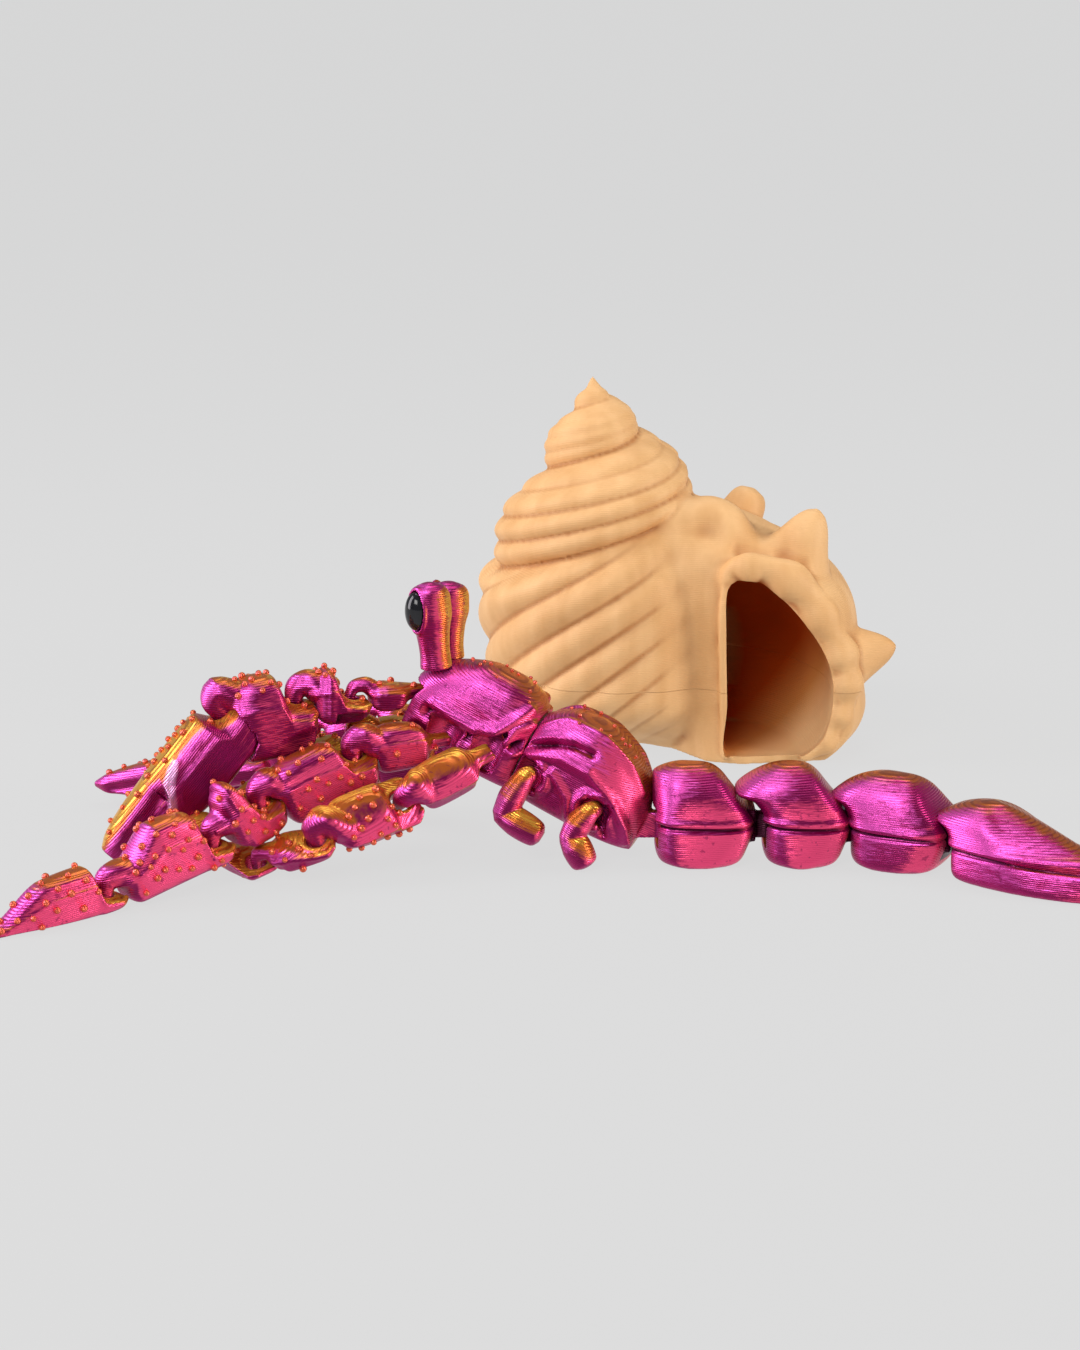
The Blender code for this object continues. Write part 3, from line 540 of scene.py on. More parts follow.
def storeHollow(piece, repeat, reach):
    # how far each vertex lies under the smoothed surface round it, in the piece's own units
    mesh = piece.data
    count = len(mesh.vertices)
    points, normals = readSurface(piece)
    ends = np.zeros(len(mesh.edges) * 2, np.int64)
    mesh.edges.foreach_get("vertices", ends)
    one, other = ends[0::2], ends[1::2]
    shared = np.maximum(np.bincount(ends, minlength=count), 1)
    smooth = points.copy()
    for _ in range(repeat):
        for k in range(3):
            total = np.bincount(one, smooth[other, k], count) + np.bincount(other, smooth[one, k], count)
            smooth[:, k] = 0.2 * smooth[:, k] + 0.8 * total / shared
    storeFloat(piece, "hollow", np.clip(((smooth - points) * normals).sum(axis=1) / reach, 0, 1))


def addBumps(piece, spots, radius=0.62):
    # spots are rays (from, towards); each bump sits where its ray meets the piece
    storeFloat(piece, "bump", np.zeros(len(piece.data.vertices)))
    bumps = []
    for start, towards in spots:
        hit, place, normal, _ = piece.ray_cast(Vector(start), Vector(towards).normalized())
        if not hit:
            continue
        if not bumps:
            deselectAll()
            bpy.ops.mesh.primitive_ico_sphere_add(subdivisions=2, radius=radius)
            bump = bpy.context.object
            storeFloat(bump, "bump", np.ones(len(bump.data.vertices)))
        else:
            bump = bumps[0].copy()
            bump.data = bumps[0].data.copy()
            scene.collection.objects.link(bump)
        bump.location = place + normal * radius * 0.25
        bump.scale = [random.uniform(0.85, 1.15)] * 3
        bumps.append(bump)
    if bumps:
        joinInto(piece, bumps)
    return piece


# directions in which the silk turns from magenta: two painted highlights, painted shade where a surface faces
# the camera, and the gold of its second colour
lobes = {"violet": (-0.62, -0.5, 0.6), "salmon": (0.74, -0.66, 0.1), "gold": (0.25, 0.25, 0.94),
         "facing": (0.0, -0.97, 0.24)}


def finishPiece(piece, place, node, body, material=None, slot="magenta_silk", sharp=0, **own):
    # place takes the piece from its own millimetres to the layout's; own: the piece's own lobes for its
    # painted highlights, painted shade and gold, and its rings
    pickUp(piece)
    piece.matrix_world = Matrix.Scale(0.001, 4) @ Matrix.Translation(layout) @ place
    bpy.ops.object.transform_apply(location=True, rotation=True, scale=True)
    if sharp:
        bpy.ops.object.shade_smooth_by_angle(angle=math.radians(sharp))
    else:
        bpy.ops.object.shade_smooth()
    points, normals = readSurface(piece)
    points[:, 2] = np.maximum(points[:, 2], 0.0)
    piece.data.vertices.foreach_set("co", points.ravel())
    up = np.array(place.to_3x3().col[2].normalized())
    storeFloat(piece, "layer", points @ up * 1000.0)
    storeFloat(piece, "level", (normals @ up) * own.get("rings", 1.0))
    rearAim = np.array(Vector((0.82, 0.35, -0.45)).normalized())
    for name, aim in lobes.items():
        aim = np.array(Vector(own.get(name, aim)).normalized())
        amount = (normals @ aim) * 0.5 + 0.5 + own.get(name + "Lift", 0.0)
        if name == "gold":
            amount = np.maximum(amount, (normals @ rearAim) * 0.49 + 0.47)
            amount = amount + readFloat(piece, "rim") * 0.14
        storeFloat(piece, name, np.clip(amount, 0, 1.2))
    piece.name = piece.data.name = node + "_shape"
    piece.data.materials.clear()
    piece.data.materials.append(material or silkMaterial)
    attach(piece, body)
    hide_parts(node)
    return piece


def pressLines(piece, lines):
    # raises (or sinks, below zero) the surface along lines: (points, width, height)
    points, normals = readSurface(piece)
    shift = np.zeros(len(points))
    for route, width, height in lines:
        bulge = height * np.exp(-(distanceFrom(points, route) / width) ** 2)
        shift = np.where(np.abs(bulge) > np.abs(shift), bulge, shift)
    return movePoints(piece, points + normals * shift[:, None])


def ripple(piece, function):
    # moves every vertex along its normal by function(points, normals), in the piece's own units
    points, normals = readSurface(piece)
    return movePoints(piece, points + normals * function(points, normals)[:, None])


# ---- links of the claws and legs ----

link = {"eyeRadius": 2.1, "eyeBar": 1.7, "barDrop": 0.9, "beakRadius": 1.5, "beakDepth": 3.4, "endGap": 0.7,
        "voxel": 0.3, "bumpRadius": 0.68, "hookWidth": 0.4, "rim": 0.28, "rimHeight": 0.3, "softening": 6,
        "sharpBend": 9.0, "steepDrop": 20.0, "bendAir": 0.35, "handAir": 0.4}
# root joint, then each link: part, joint spacing, heading, pitch, roll, width, top, bottom, bumps
limbs = {
    "left_front_leg": ((-20.2, 3, 23.6), (
        ("ischium", 18.8, 19, -5, 0, 8.4, 5.2, -4.2, 3),
        ("merus", 21.4, 26, -20, 0, 10.0, 5.6, -7.2, 20),
        ("carpus", 12.8, 38, -28, 0, 9.6, 9.2, -6.4, 16),
        ("propodus", 24.6, 37, -13, 0, 9.2, 9.4, -4.2, 34),
        ("dactyl", 31.4, 41, -5, 0, 8.4, 7.6, -3.2, 26))),
    "left_rear_leg": ((-11.4, -1.6, 21.6), (
        ("ischium", 19.6, 26, -21, 40, 8.4, 3.8, -4.4, 0),
        ("merus", 18.8, 24, -18, 52, 10.2, 4.0, -5.2, 22),
        ("carpus", 14.0, -16, -24, 30, 8.0, 2.6, -3.4, 10),
        ("dactyl", 22.0, -52, -2, 12, 6.4, 2.4, -3.0, 6))),
    "right_front_leg": ((-24.0, 12.6, 24.8), (
        ("ischium", 15.8, 24, -7, 0, 6.4, 3.0, -2.8, 4),
        ("merus", 14.2, 21, -20, 0, 6.8, 3.0, -4.0, 10),
        ("carpus", 17.6, 38, -22, 0, 5.2, 2.4, -3.2, 8),
        ("propodus", 16.0, 37, -14, 0, 4.6, 2.4, -3.2, 8),
        ("dactyl", 13.6, 28, -24, 0, 4.4, 2.2, -2.2, 5))),
    "right_rear_leg": ((-7.4, 18.6, 18.4), (
        ("ischium", 16.6, -34, -18, 0, 8.0, 4.4, -4.2, 4),
        ("merus", 19.0, -20, -16, 0, 8.6, 4.6, -4.8, 14),
        ("propodus", 17.6, -14, -8, 0, 8.0, 4.6, -4.0, 14),
        ("dactyl", 24.0, -10, -3, 0, 7.0, 4.2, -3.0, 12))),
    "left_claw": ((-24.6, 8.8, 32.4), (
        ("ischium", 14.6, 17, 1, 0, 7.4, 2.4, -3.4, 3),
        ("merus", 11.6, 17, 0, 0, 10.6, 6.2, -5.2, 16),
        ("carpus", 15.0, 19, -6, 0, 12.6, 6.4, -10.6, 22))),
    "right_claw": ((-24.6, 16.8, 26.0), (
        ("ischium", 12.2, -22, -14, 0, 6.6, 2.6, -3.0, 3),
        ("merus", 13.4, -22, -18, 0, 8.6, 2.6, -4.8, 10),
        ("carpus", 15.2, -16, -22, 0, 10.6, 3.0, -6.6, 12))),
}
# how each limb swings at its root: axis, and the angle it can reach
swings = {
    "left_front_leg": ((-0.3, 0.87, 0.4), 8.0), "left_rear_leg": ((0.0, 0.0, 1.0), 5.0),
    "right_front_leg": ((0.0, 0.0, 1.0), 0.0), "right_rear_leg": ((0.0, 0.0, -1.0), 18.0),
    "left_claw": ((-0.292, 0.956, 0.0), 22.0), "right_claw": ((0.375, 0.927, 0.0), 22.0)}
# links whose far end differs: share of their depth left there, how much longer, share of their top
linkEnds = {"left_rear_leg_merus": (0.42, 0.0, 1.0), "left_rear_leg_carpus": (0.7, 0.0, 1.0),
            "right_rear_leg_merus": (0.8, 0.0, 1.0), "left_front_leg_carpus": (0.8, 0.0, 0.9),
            "left_front_leg_propodus": (1.0, 0.0, 0.5), "left_claw_carpus": (1.0, 2.4, 0.95)}
plainEnd = (1.0, 0.0, 1.0)
thickHooks = {"left_claw_carpus": 1.12}
# links that leave room for another limb's link when it swings: the limb, its link, the air round it
swingRoom = {"left_claw_carpus": ("left_front_leg", 1, 0.9), "left_claw_merus": ("left_front_leg", 0, 0.9),
             "right_front_leg_ischium": ("right_claw", 0, 0.5)}
hands = {
    "left_claw": {"heading": 15, "pitch": -50, "palm": 20.0, "half": 6.4, "top": 4.4, "base": -9.6,
                  "finger": 16.0, "tip": (0.34, -4.0, 1.8), "bumps": 20},
    "right_claw": {"heading": -15, "pitch": -14, "palm": 17.0, "half": 5.8, "top": 3.0, "base": -5.6,
                   "finger": 20.0, "tip": (0.14, -0.8, 0.4), "bumps": 18},
}


def bodyEnd(length):
    return length - link["eyeRadius"] - link["eyeBar"] - link["endGap"]


def eyeStations(half, top, bottom, rise=1.3):
    radius = link["eyeRadius"]
    return [(-radius - link["eyeBar"], half * 0.64, bottom * 0.55, -link["barDrop"]),
            (-radius, half * 0.97, bottom * 0.9, -link["barDrop"]),
            (radius, half, bottom, 0.7), (radius + rise, half, bottom, top * 0.86)]


def endStations(end, half, high, low):
    return [(end - 2.0, half * 0.97, low, high * 0.95), (end - 0.6, half * 0.86, low * 0.86, high * 0.84),
            (end + 0.2, half * 0.6, low * 0.6, high * 0.6)]


def linkStations(length, width, top, bottom, rise, shape):
    taper, reach, drop = shape
    half, end = width / 2, bodyEnd(length) + reach
    first = link["eyeRadius"] + rise + 0.2
    middle = ((first + end) / 2, half * 1.02, bottom * (0.6 + 0.4 * taper), top)
    return [*eyeStations(half, top, bottom, rise), middle,
            *endStations(end, half, top * drop, bottom * taper)]


def rootStations(length, width, top, bottom):
    half, end = width / 2, bodyEnd(length)
    return [(-1.8, 1.5, -1.3, 1.3), (2.2, 1.8, -1.5, 1.8), (4.4, half, bottom * 0.9, top * 0.8),
            ((4.4 + end) / 2, half * 1.02, bottom, top)] + endStations(end, half, top, bottom)


def tipStations(length, width, top, bottom, rise):
    half = width / 2
    return [*eyeStations(half, top, bottom, rise),
            (length * 0.42, half * 0.86, bottom, top * 0.8),
            (length * 0.72, half * 0.52, bottom * 0.98, top * 0.12),
            (length, half * 0.16, bottom * 0.9, bottom * 0.5)]


def palmStations(size):
    half, top, base, palm = size["half"], size["top"], size["base"], size["palm"]
    return [(-3.8, half * 0.6, base * 0.62, -0.9), (-2.1, half * 0.84, base * 0.84, -0.7),
            (2.1, half * 0.96, base, 0.8), (3.6, half, base, top * 0.9),
            (palm * 0.6, half * 1.04, base, top), (palm + 0.3, half * 0.92, base * 0.9, top * 0.95)]


def fingerStations(size):
    half, top, base, palm = size["half"], size["top"], size["base"], size["palm"]
    share, low, high = size["tip"]
    root = (half * 0.92, base * 0.9, top * 0.95)
    tip = (half * share, low, high)
    return [(palm + size["finger"] * along - 0.8 * (along == 0.0),
             *(a + (b - a) * blend for a, b in zip(root, tip)))
            for along, blend in ((0.0, 0.0), (0.45, 0.16), (0.82, 0.5), (1.0, 1.0))]


def loft(name, stations, step=0.6, count=40, rim=0.0, shoulder=0.6):
    start, end = stations[0][0], stations[-1][0]
    amount = max(int((end - start) / step), 4)
    rings = []
    for i in range(amount + 1):
        x = start + (end - start) * i / amount
        half, low, high = spline(stations, x)
        ring = sectionRing(x, half, low, high, shoulder, count)
        edge = low + (high - low) * shoulder
        for point in ring:
            point.y += math.copysign(rim, point.y) * math.exp(-((point.z - edge) / 0.55) ** 2)
        rings.append(ring)
    return growRings(name, rings)


def grownLoft(name, stations, margin):
    grown = [(x, half + margin, low - margin, high + margin) for x, half, low, high in stations]
    grown.insert(0, (stations[0][0] - margin, *grown[0][1:]))
    grown.append((stations[-1][0] + margin, *grown[-1][1:]))
    return loft(name, grown, step=1.5, count=20)


def carveRoom(piece, frameOf, stations, frameTo, margin):
    # leaves air round another link, given in that link's own frame
    cutter = grownLoft("room", stations, margin)
    cutter.data.transform(frameOf.inverted() @ frameTo)
    return carve(piece, cutter)


def uprightFrame(place, following, length):
    up = following.col[2].to_3d()
    forward = place.col[0].to_3d()
    forward = (forward - up * forward.dot(up)).normalized()
    turned = Matrix((forward, up.cross(forward), up)).transposed().to_4x4()
    turned.translation = following.translation - forward * length
    return turned


def beak(length, top, toAim, lift=0.0, strength=1.0):
    # leaves the link inside its front end, arches over the gap and drops into the next link's eye
    thick = link["beakRadius"] * min(top / 4.0, 1.0) * strength
    end = bodyEnd(length)
    root = max(min(top, 4.8) - 2.1 * thick, 0.5)
    over = max(root, 1.6 * thick + 0.5) + lift
    deep = link["beakDepth"] * (0.4 + 0.6 * min(thick / link["beakRadius"], 1.0))
    start = toAim @ Vector((end - 4.0, 0, root * 0.4))
    leave = toAim @ Vector((end - 1.2, 0, root))
    brow = Vector((length - 1.0, 0, 1.3 * thick + 0.4 + lift * 0.6))
    arch = leave.lerp(brow, 0.5)
    arch.z = max(arch.z, over)
    path = (start, leave, arch, brow, (length - 0.1, 0, -0.8), (length, 0, -deep))
    radii = [thick * share for share in (1.9, 2.1, 1.8, 1.5, 1.1, 0.75)]
    hook = growRings("beak", tubeRings(path, radii, sides=20, steps=6))
    for vert in hook.data.vertices:
        vert.co.y *= 1.0 + link["hookWidth"] * min(max((length + 0.6 - vert.co.x) / 5.0, 0.0), 1.0)
    return hook


def bend(one, other):
    return max(abs(one[2] - other[2]), abs(one[3] - other[3]))


def planLimb(name):
    # every link's frame and sections, worked out before any of them is made
    origin, plan = Vector(limbs[name][0]), []
    rows = limbs[name][1]
    for index, (part, length, heading, pitch, roll, width, top, bottom, bumps) in enumerate(rows):
        place = pose(origin, heading, pitch, roll)
        rise = 3.0 if index and bend(rows[index - 1], rows[index]) > 30.0 else 1.3
        if index == 0:
            stations = rootStations(length, width, top, bottom)
        elif part == "dactyl":
            stations = tipStations(length, width, top, bottom, rise)
        else:
            shape = linkEnds.get(f"{name}_{part}", plainEnd)
            stations = linkStations(length, width, top, bottom, rise, shape)
        plan.append((f"{name}_{part}", place, stations))
        origin = place @ Vector((length, 0, 0))
    if name in hands:
        place = pose(origin, hands[name]["heading"], hands[name]["pitch"])
        plan.append((name + "_palm", place, palmStations(hands[name])))
    return plan


def raiseRims(piece, stations, hasEye):
    # a rim round the eye and along both shoulders; both are marked so that they turn gold
    points = readSurface(piece)[0]
    table = np.array(stations)
    half, low, high = (np.interp(points[:, 0], table[:, 0], table[:, k]) for k in (1, 2, 3))
    edge = low + (high - low) * 0.66
    rim = np.exp(-((points[:, 2] - edge) / 0.6) ** 2) * (np.abs(points[:, 1]) > half * 0.82)
    if hasEye:
        away = np.hypot(points[:, 0], points[:, 1]) - link["eyeRadius"] - 0.5
        rim = np.maximum(rim, np.exp(-(away / 0.55) ** 2) * (points[:, 2] > -2.0))
    ripple(piece, lambda places, normals: rim * link["rimHeight"])
    storeFloat(piece, "rim", rim)


def scatterBumps(piece, stations, amount, low=15, high=165, start=0.12, end=0.95):
    # rays come in from above and both sides, spread evenly with a little disorder
    if not amount:
        return piece
    first, last = stations[0][0], stations[-1][0]
    spots = []
    for i in range(amount):
        along = start + (end - start) * (i + random.uniform(0.2, 0.8)) / amount
        turn = math.radians(low + (high - low) * ((i * 0.618 + random.uniform(-0.08, 0.08)) % 1.0))
        x = first + (last - first) * along
        _, base, top = spline(stations, x)
        middle = base + (top - base) * 0.45
        out = Vector((0, math.cos(turn), math.sin(turn)))
        spots.append((Vector((x, 0, middle)) + out * 40, -out))
    return addBumps(piece, spots, link["bumpRadius"])


def trimUnderTable(piece, place):
    table = addBox("table", (-400, -400, -60), (400, 400, 0.02))
    table.data.transform(place.inverted())
    return carve(piece, table)


# limbs whose painted highlights and gold lie in directions of their own; then where bumps lie, in degrees
# round
limbLobes = {
    "left_front_leg": {"salmonLift": 0.01},
    "left_rear_leg": {"gold": (-0.05, 0.1, 0.99), "goldLift": 0.07},
    "right_front_leg": {"gold": (0.0, -0.3, 0.95), "goldLift": 0.08},
    "left_claw": {"violet": (-0.6, -0.68, 0.42), "violetLift": 0.03, "salmonLift": -0.05},
    "right_claw": {"goldLift": 0.04},
}
handLobes = {
    "left_claw": {"gold": (-0.72, 0.05, 0.7), "goldLift": 0.1, "violet": (-0.55, -0.72, 0.4),
                  "salmonLift": -0.12},
    "right_claw": {"violet": (-0.3, -0.6, 0.7), "violetLift": 0.05},
}
bumpFan = {"left_claw": (52, 150), "right_claw": (40, 160), "left_front_leg": (-34, 128),
           "left_rear_leg": (-30, 130)}
plainFan = (8, 165)


def swungPlace(limb, place, angle):
    pivot = Matrix.Translation(Vector(limbs[limb][0]))
    return pivot @ Matrix.Rotation(math.radians(angle), 4, Vector(swings[limb][0])) @ pivot.inverted() @ place


def makeHook(place, plan, index, row, lift):
    length, top = row[1], row[6]
    aim = uprightFrame(place, plan[index + 1][1], length)
    hook = beak(length, top, aim.inverted() @ place, lift, thickHooks.get(plan[index][0], 1.0))
    hook.data.transform(place.inverted() @ aim)
    return hook


def leaveSwingRoom(piece, place, limb, other, air):
    _, otherPlace, otherStations = planLimb(limb)[other]
    hookRoom = [(otherStations[-1][0] + along, 4.6, -3.4, 5.6) for along in (-1.0, 5.5)]
    carveRoom(piece, place, otherStations[:-2] + hookRoom, swungPlace(limb, otherPlace, swings[limb][1]), air)


def buildLimb(name, body):
    rows = limbs[name][1]
    plan = planLimb(name)
    for index, row in enumerate(rows):
        node, place, stations = plan[index]
        piece = loft(node, stations, rim=link["rim"])
        hooks = []
        if row[0] != "dactyl":
            _, followingPlace, following = plan[index + 1]
            lift = 0.0
            if index + 1 == len(rows):
                carveRoom(piece, place, following, followingPlace, link["handAir"])
            else:
                if bend(row, rows[index + 1]) > link["sharpBend"]:
                    carveRoom(piece, place, following[:4], followingPlace, link["bendAir"])
                if row[3] - rows[index + 1][3] > link["steepDrop"]:
                    lift = 1.5
            hooks.append(makeHook(place, plan, index, row, lift))
        if index > 0:
            carve(piece, addRod("eye", (0, 0, 0), link["eyeRadius"], 60.0))
        joinInto(piece, hooks)
        fuse(piece, link["voxel"])
        if node in swingRoom:
            leaveSwingRoom(piece, place, *swingRoom[node])
        relax(piece, 0.5, link["softening"])
        raiseRims(piece, stations, index > 0)
        if place.translation.z + row[7] < 8.0:
            trimUnderTable(piece, place)
        storeHollow(piece, 10, 0.5)
        scatterBumps(piece, stations, row[8], *bumpFan.get(name, plainFan))
        finishPiece(piece, place, node, body, rings=0.0, **limbLobes.get(name, {}))
    if name in hands:
        buildHand(name, plan[-1], body)
    print(name, "built")


def handLines(size):
    # on both sides: a ridge slants down from the palm's top edge, and past it the finger is scooped out
    palm, half, base, finger = size["palm"], size["half"], size["base"], size["finger"]
    lines = []
    for side in (half, -half):
        ridge = ((palm - 7.0, side, 3.0), (palm - 3.0, side, 0.8), (palm + 2.6, side, base * 0.5),
                 (palm + finger * 0.44, side, base * 0.9))
        scoop = ((palm + 1.0, side * 0.96, 0.4), (palm + finger * 0.3, side * 0.94, -1.2),
                 (palm + finger * 0.72, side * 0.8, base * 0.3))
        lines.append((ridge, 1.5, 0.7))
        lines.append((scoop, 2.8, -1.4))
    return lines


def paintRidgeHighlight(piece, route):
    # painted highlight: the ridge is painted a pale tint, as if it caught the light
    storeFloat(piece, "pale", np.exp(-(distanceFrom(readSurface(piece)[0], route) / 1.3) ** 2))


def buildHand(name, planned, body):
    size = hands[name]
    node, place, stations = planned
    palm = loft(node, stations, rim=0.4)
    carve(palm, addRod("eye", (0, 0, 0), link["eyeRadius"], 60.0))
    fuse(palm, link["voxel"])
    relax(palm, 0.5, 4)
    lines = handLines(size)
    pressLines(palm, lines)
    paintRidgeHighlight(palm, lines[0][0])
    storeHollow(palm, 10, 0.6)
    scatterBumps(palm, stations, size["bumps"], 62, 150, 0.25, 0.97)
    finishPiece(palm, place, node, body, **handLobes[name])
    stations = fingerStations(size)
    finger = loft(name + "_finger", stations, rim=0.3)
    fuse(finger, link["voxel"])
    relax(finger, 0.5, 4)
    pressLines(finger, lines)
    paintRidgeHighlight(finger, lines[0][0])
    trimUnderTable(finger, place)
    storeHollow(finger, 10, 0.6)
    scatterBumps(finger, stations, size["bumps"] // 3, 66, 150, 0.1, 0.85)
    finishPiece(finger, place, name + "_finger", body, rings=0.0, **handLobes[name])


# ---- front body, eyes and small legs ----

front = {
    "origin": (24.0, 0.0, 10.0), "heading": -15.0, "pitch": 25.0, "base": -10.0, "halfWidth": 9.6,
    "voxel": 0.32, "softening": 3, "ridgeHeight": 1.35, "swingAir": 0.5,
    "crestBumps": 12, "crestBumpRadius": 0.42,
    "socketRadius": 3.2, "socketDepth": 6.0, "rootRadius": 3.5, "rootDepth": 7.6,
    "mouthLow": (50.2, -7.4, -8.2), "mouthHigh": (62.0, 7.4, 1.9),
}
# distance forward, height of the top, share of the full half width
thoraxProfile = (
    (1.4, -1.0, 0.36), (2.8, 2.2, 0.58), (6.0, 5.9, 0.84), (11.0, 9.0, 1.0), (17.5, 10.9, 1.02),
    (23.0, 10.3, 0.98), (27.0, 8.2, 0.86), (28.85, 6.6, 0.8))
carapaceProfile = (
    (29.15, 7.0, 0.82), (31.5, 9.6, 0.93), (36.5, 11.0, 1.0), (42.5, 10.8, 1.0), (48.0, 8.8, 0.96),
    (52.5, 6.1, 0.88), (55.2, 3.2, 0.74), (56.6, -0.6, 0.6))
# name, place forward, side, knee and tip from the socket
smallLegs = (
    ("left_small_leg_1", 25.6, 1, (0.9, 3.4, -8.6), (-8.1, 3.0, -9.4)),
    ("left_small_leg_2", 10.8, 1, (1.5, 3.4, -6.0), (-4.1, 3.6, -10.1)),
    ("right_small_leg_1", 25.6, -1, (0.9, 3.4, -6.6), (-6.6, 3.0, -7.6)),
    ("right_small_leg_2", 10.8, -1, (1.5, 3.4, -4.6), (-3.8, 3.6, -8.2)))
smallLegRadii = (1.7, 2.0, 2.8, 2.4, 3.1, 2.6, 1.1)
smallVoxel = 0.22  # for the small legs and the eyestalks
# label, side, where the head stands from the foot
eyestalks = (("left", 1, (1.6, 0.4, 17.2)), ("right", -1, (0.0, -1.0, 15.4)))
bodyPlace = pose(front["origin"], front["heading"], front["pitch"])


def profileStations(profile):
    return [(x, front["halfWidth"] * share, front["base"], top) for x, top, share in profile]


def smallLegSocket(forward, side):
    return bodyPlace @ Vector((forward, (front["halfWidth"] - 0.6) * side, -3.4))


def carvePocket(piece, place, radius, depth):
    rod = addRod("pocket", (0, 0, 0), radius, depth)
    rod.data.transform(Matrix.Translation(bodyPlace.inverted() @ Vector(place)))
    return carve(piece, rod)


# raised rims and grooves on the body: points on its left side, width, height
bodyLines = (
    (((32.7, 9.1, 0.8), (32.1, 8.4, 3.6), (29.8, 6.5, 5.6), (23.7, 5.0, 9.0), (15.5, 5.2, 9.6),
      (8.6, 4.8, 6.6), (4.6, 4.2, 2.6)), 1.1, 0.8),
    (((31.3, 8.8, 0.1), (28.7, 8.2, 2.1), (24.4, 8.2, 4.6), (19.9, 8.1, 6.2), (16.0, 7.9, 6.4)), 0.75, -1.7),
    (((30.9, 8.7, -1.2), (26.7, 8.8, 0.8), (21.3, 9.2, 3.1), (15.0, 9.3, 3.2), (8.6, 9.0, 0.2),
      (4.4, 6.8, -4.4), (2.8, 5.2, -7.4)), 1.0, 1.0),
    (((27.2, 8.6, -1.8), (21.6, 9.6, -0.5), (16.7, 9.8, -3.6), (14.8, 9.6, -8.0)), 0.9, 0.7),
    (((13.0, 9.4, -0.6), (9.0, 8.8, -3.6), (7.0, 8.0, -8.0)), 0.7, -0.8),
    (((49.2, 9.2, 0.6), (44.0, 9.8, 0.0), (40.1, 9.8, -0.2), (35.4, 9.4, 1.4), (33.0, 8.2, 5.0),
      (31.4, 5.6, 7.6)), 1.2, 0.7),
    (((50.0, 8.8, -1.8), (44.0, 9.6, -2.2), (40.1, 9.8, -2.6), (36.0, 9.4, -1.4), (33.4, 8.6, 1.4)),
     1.0, -1.3))
socketRing = {"forward": 4.0, "up": 3.6, "side": 9.4, "width": 0.8, "height": 1.3}


def bodyRidges():
    # the same lines on both sides, and a raised ring round each small leg's socket
    both = []
    for route, width, height in bodyLines:
        for side in (1, -1):
            both.append(([(x, side * y, z) for x, y, z in route], width, height * front["ridgeHeight"]))
    for name, forward, side, knee, tip in smallLegs:
        middle = bodyPlace.inverted() @ smallLegSocket(forward, side)
        turns = [a / 8 * math.pi for a in range(17)]
        ring = [(middle.x + socketRing["forward"] * math.cos(a), socketRing["side"] * side,
                 middle.z + socketRing["up"] * math.sin(a)) for a in turns]
        both.append((ring, socketRing["width"], socketRing["height"]))
    return both


def scatterCrest(piece, first, last):
    # small bumps along the top, between two places forward
    spots = []
    amount = front["crestBumps"]
    for i in range(amount):
        x = first + (last - first) * (i + random.random()) / amount
        out = Vector((0, random.uniform(-0.5, 0.6), 1)).normalized()
        spots.append((Vector((x, 0, 0)) + out * 40, -out))
    return addBumps(piece, spots, front["crestBumpRadius"])


def bodyAim(forward, side, up):
    return tuple(bodyPlace.to_3x3() @ Vector((forward, side, up)))


def bodyBlock(name, profile):
    return loft(name, profileStations(profile), step=0.5, count=64, shoulder=0.5)


def shapeBody(piece):
    fuse(piece, front["voxel"])
    relax(piece, 0.5, front["softening"])
    return pressLines(piece, bodyRidges())


def buildThorax():
    piece = bodyBlock("thorax", thoraxProfile)
    for name, forward, side, knee, tip in smallLegs:
        carvePocket(piece, smallLegSocket(forward, side), front["socketRadius"], front["socketDepth"])
    tongue = tailTongue(-14.0)
    tongue.data.transform(bodyPlace.inverted() @ pose((*tailStart, 0.0), 180.0))
    joinInto(piece, [tongue])
    shapeBody(piece)
    trimUnderTable(piece, bodyPlace)
    storeHollow(piece, 14, 0.6)
    scatterCrest(piece, 8, 26)
    finishPiece(piece, bodyPlace, "thorax", "front_body", rings=0.96,
                violet=bodyAim(0.5, 0.7, 0.52), violetLift=-0.01, salmon=bodyAim(-0.62, 0.62, 0.48),
                facing=bodyAim(-0.2, 0.85, 0.45), gold=bodyAim(-0.3, -0.45, 0.84))


def buildCarapace():
    piece = bodyBlock("carapace", carapaceProfile)
    carve(piece, addBox("mouth", front["mouthLow"], front["mouthHigh"]))
    for name in ("left_front_leg", "left_rear_leg", "right_rear_leg"):
        carvePocket(piece, limbs[name][0], front["rootRadius"], front["rootDepth"])
    for name, (axis, reach) in swings.items():
        node, place, stations = planLimb(name)[0]
        for angle in sorted({0.0, reach}):
            carveRoom(piece, bodyPlace, stations[:4], swungPlace(name, place, angle), front["swingAir"])
    for label, side, lean in eyestalks:
        seat = growRings("seat", tubeRings(((0, 0, -0.7), [c * 0.16 for c in lean]), (3.3, 3.1), sides=20))
        seat.data.transform(bodyPlace.inverted() @ eyestalkStand(side))
        carve(piece, seat)
    shapeBody(piece)
    storeHollow(piece, 14, 0.6)
    scatterCrest(piece, 31, 48)
    finishPiece(piece, bodyPlace, "carapace", "front_body", rings=0.94,
                violet=bodyAim(0.5, 0.72, 0.5), violetLift=-0.02, salmon=bodyAim(-0.78, 0.58, 0.28),
                salmonLift=0.03, facing=bodyAim(-0.3, 0.85, 0.42), gold=bodyAim(-0.3, -0.45, 0.84))


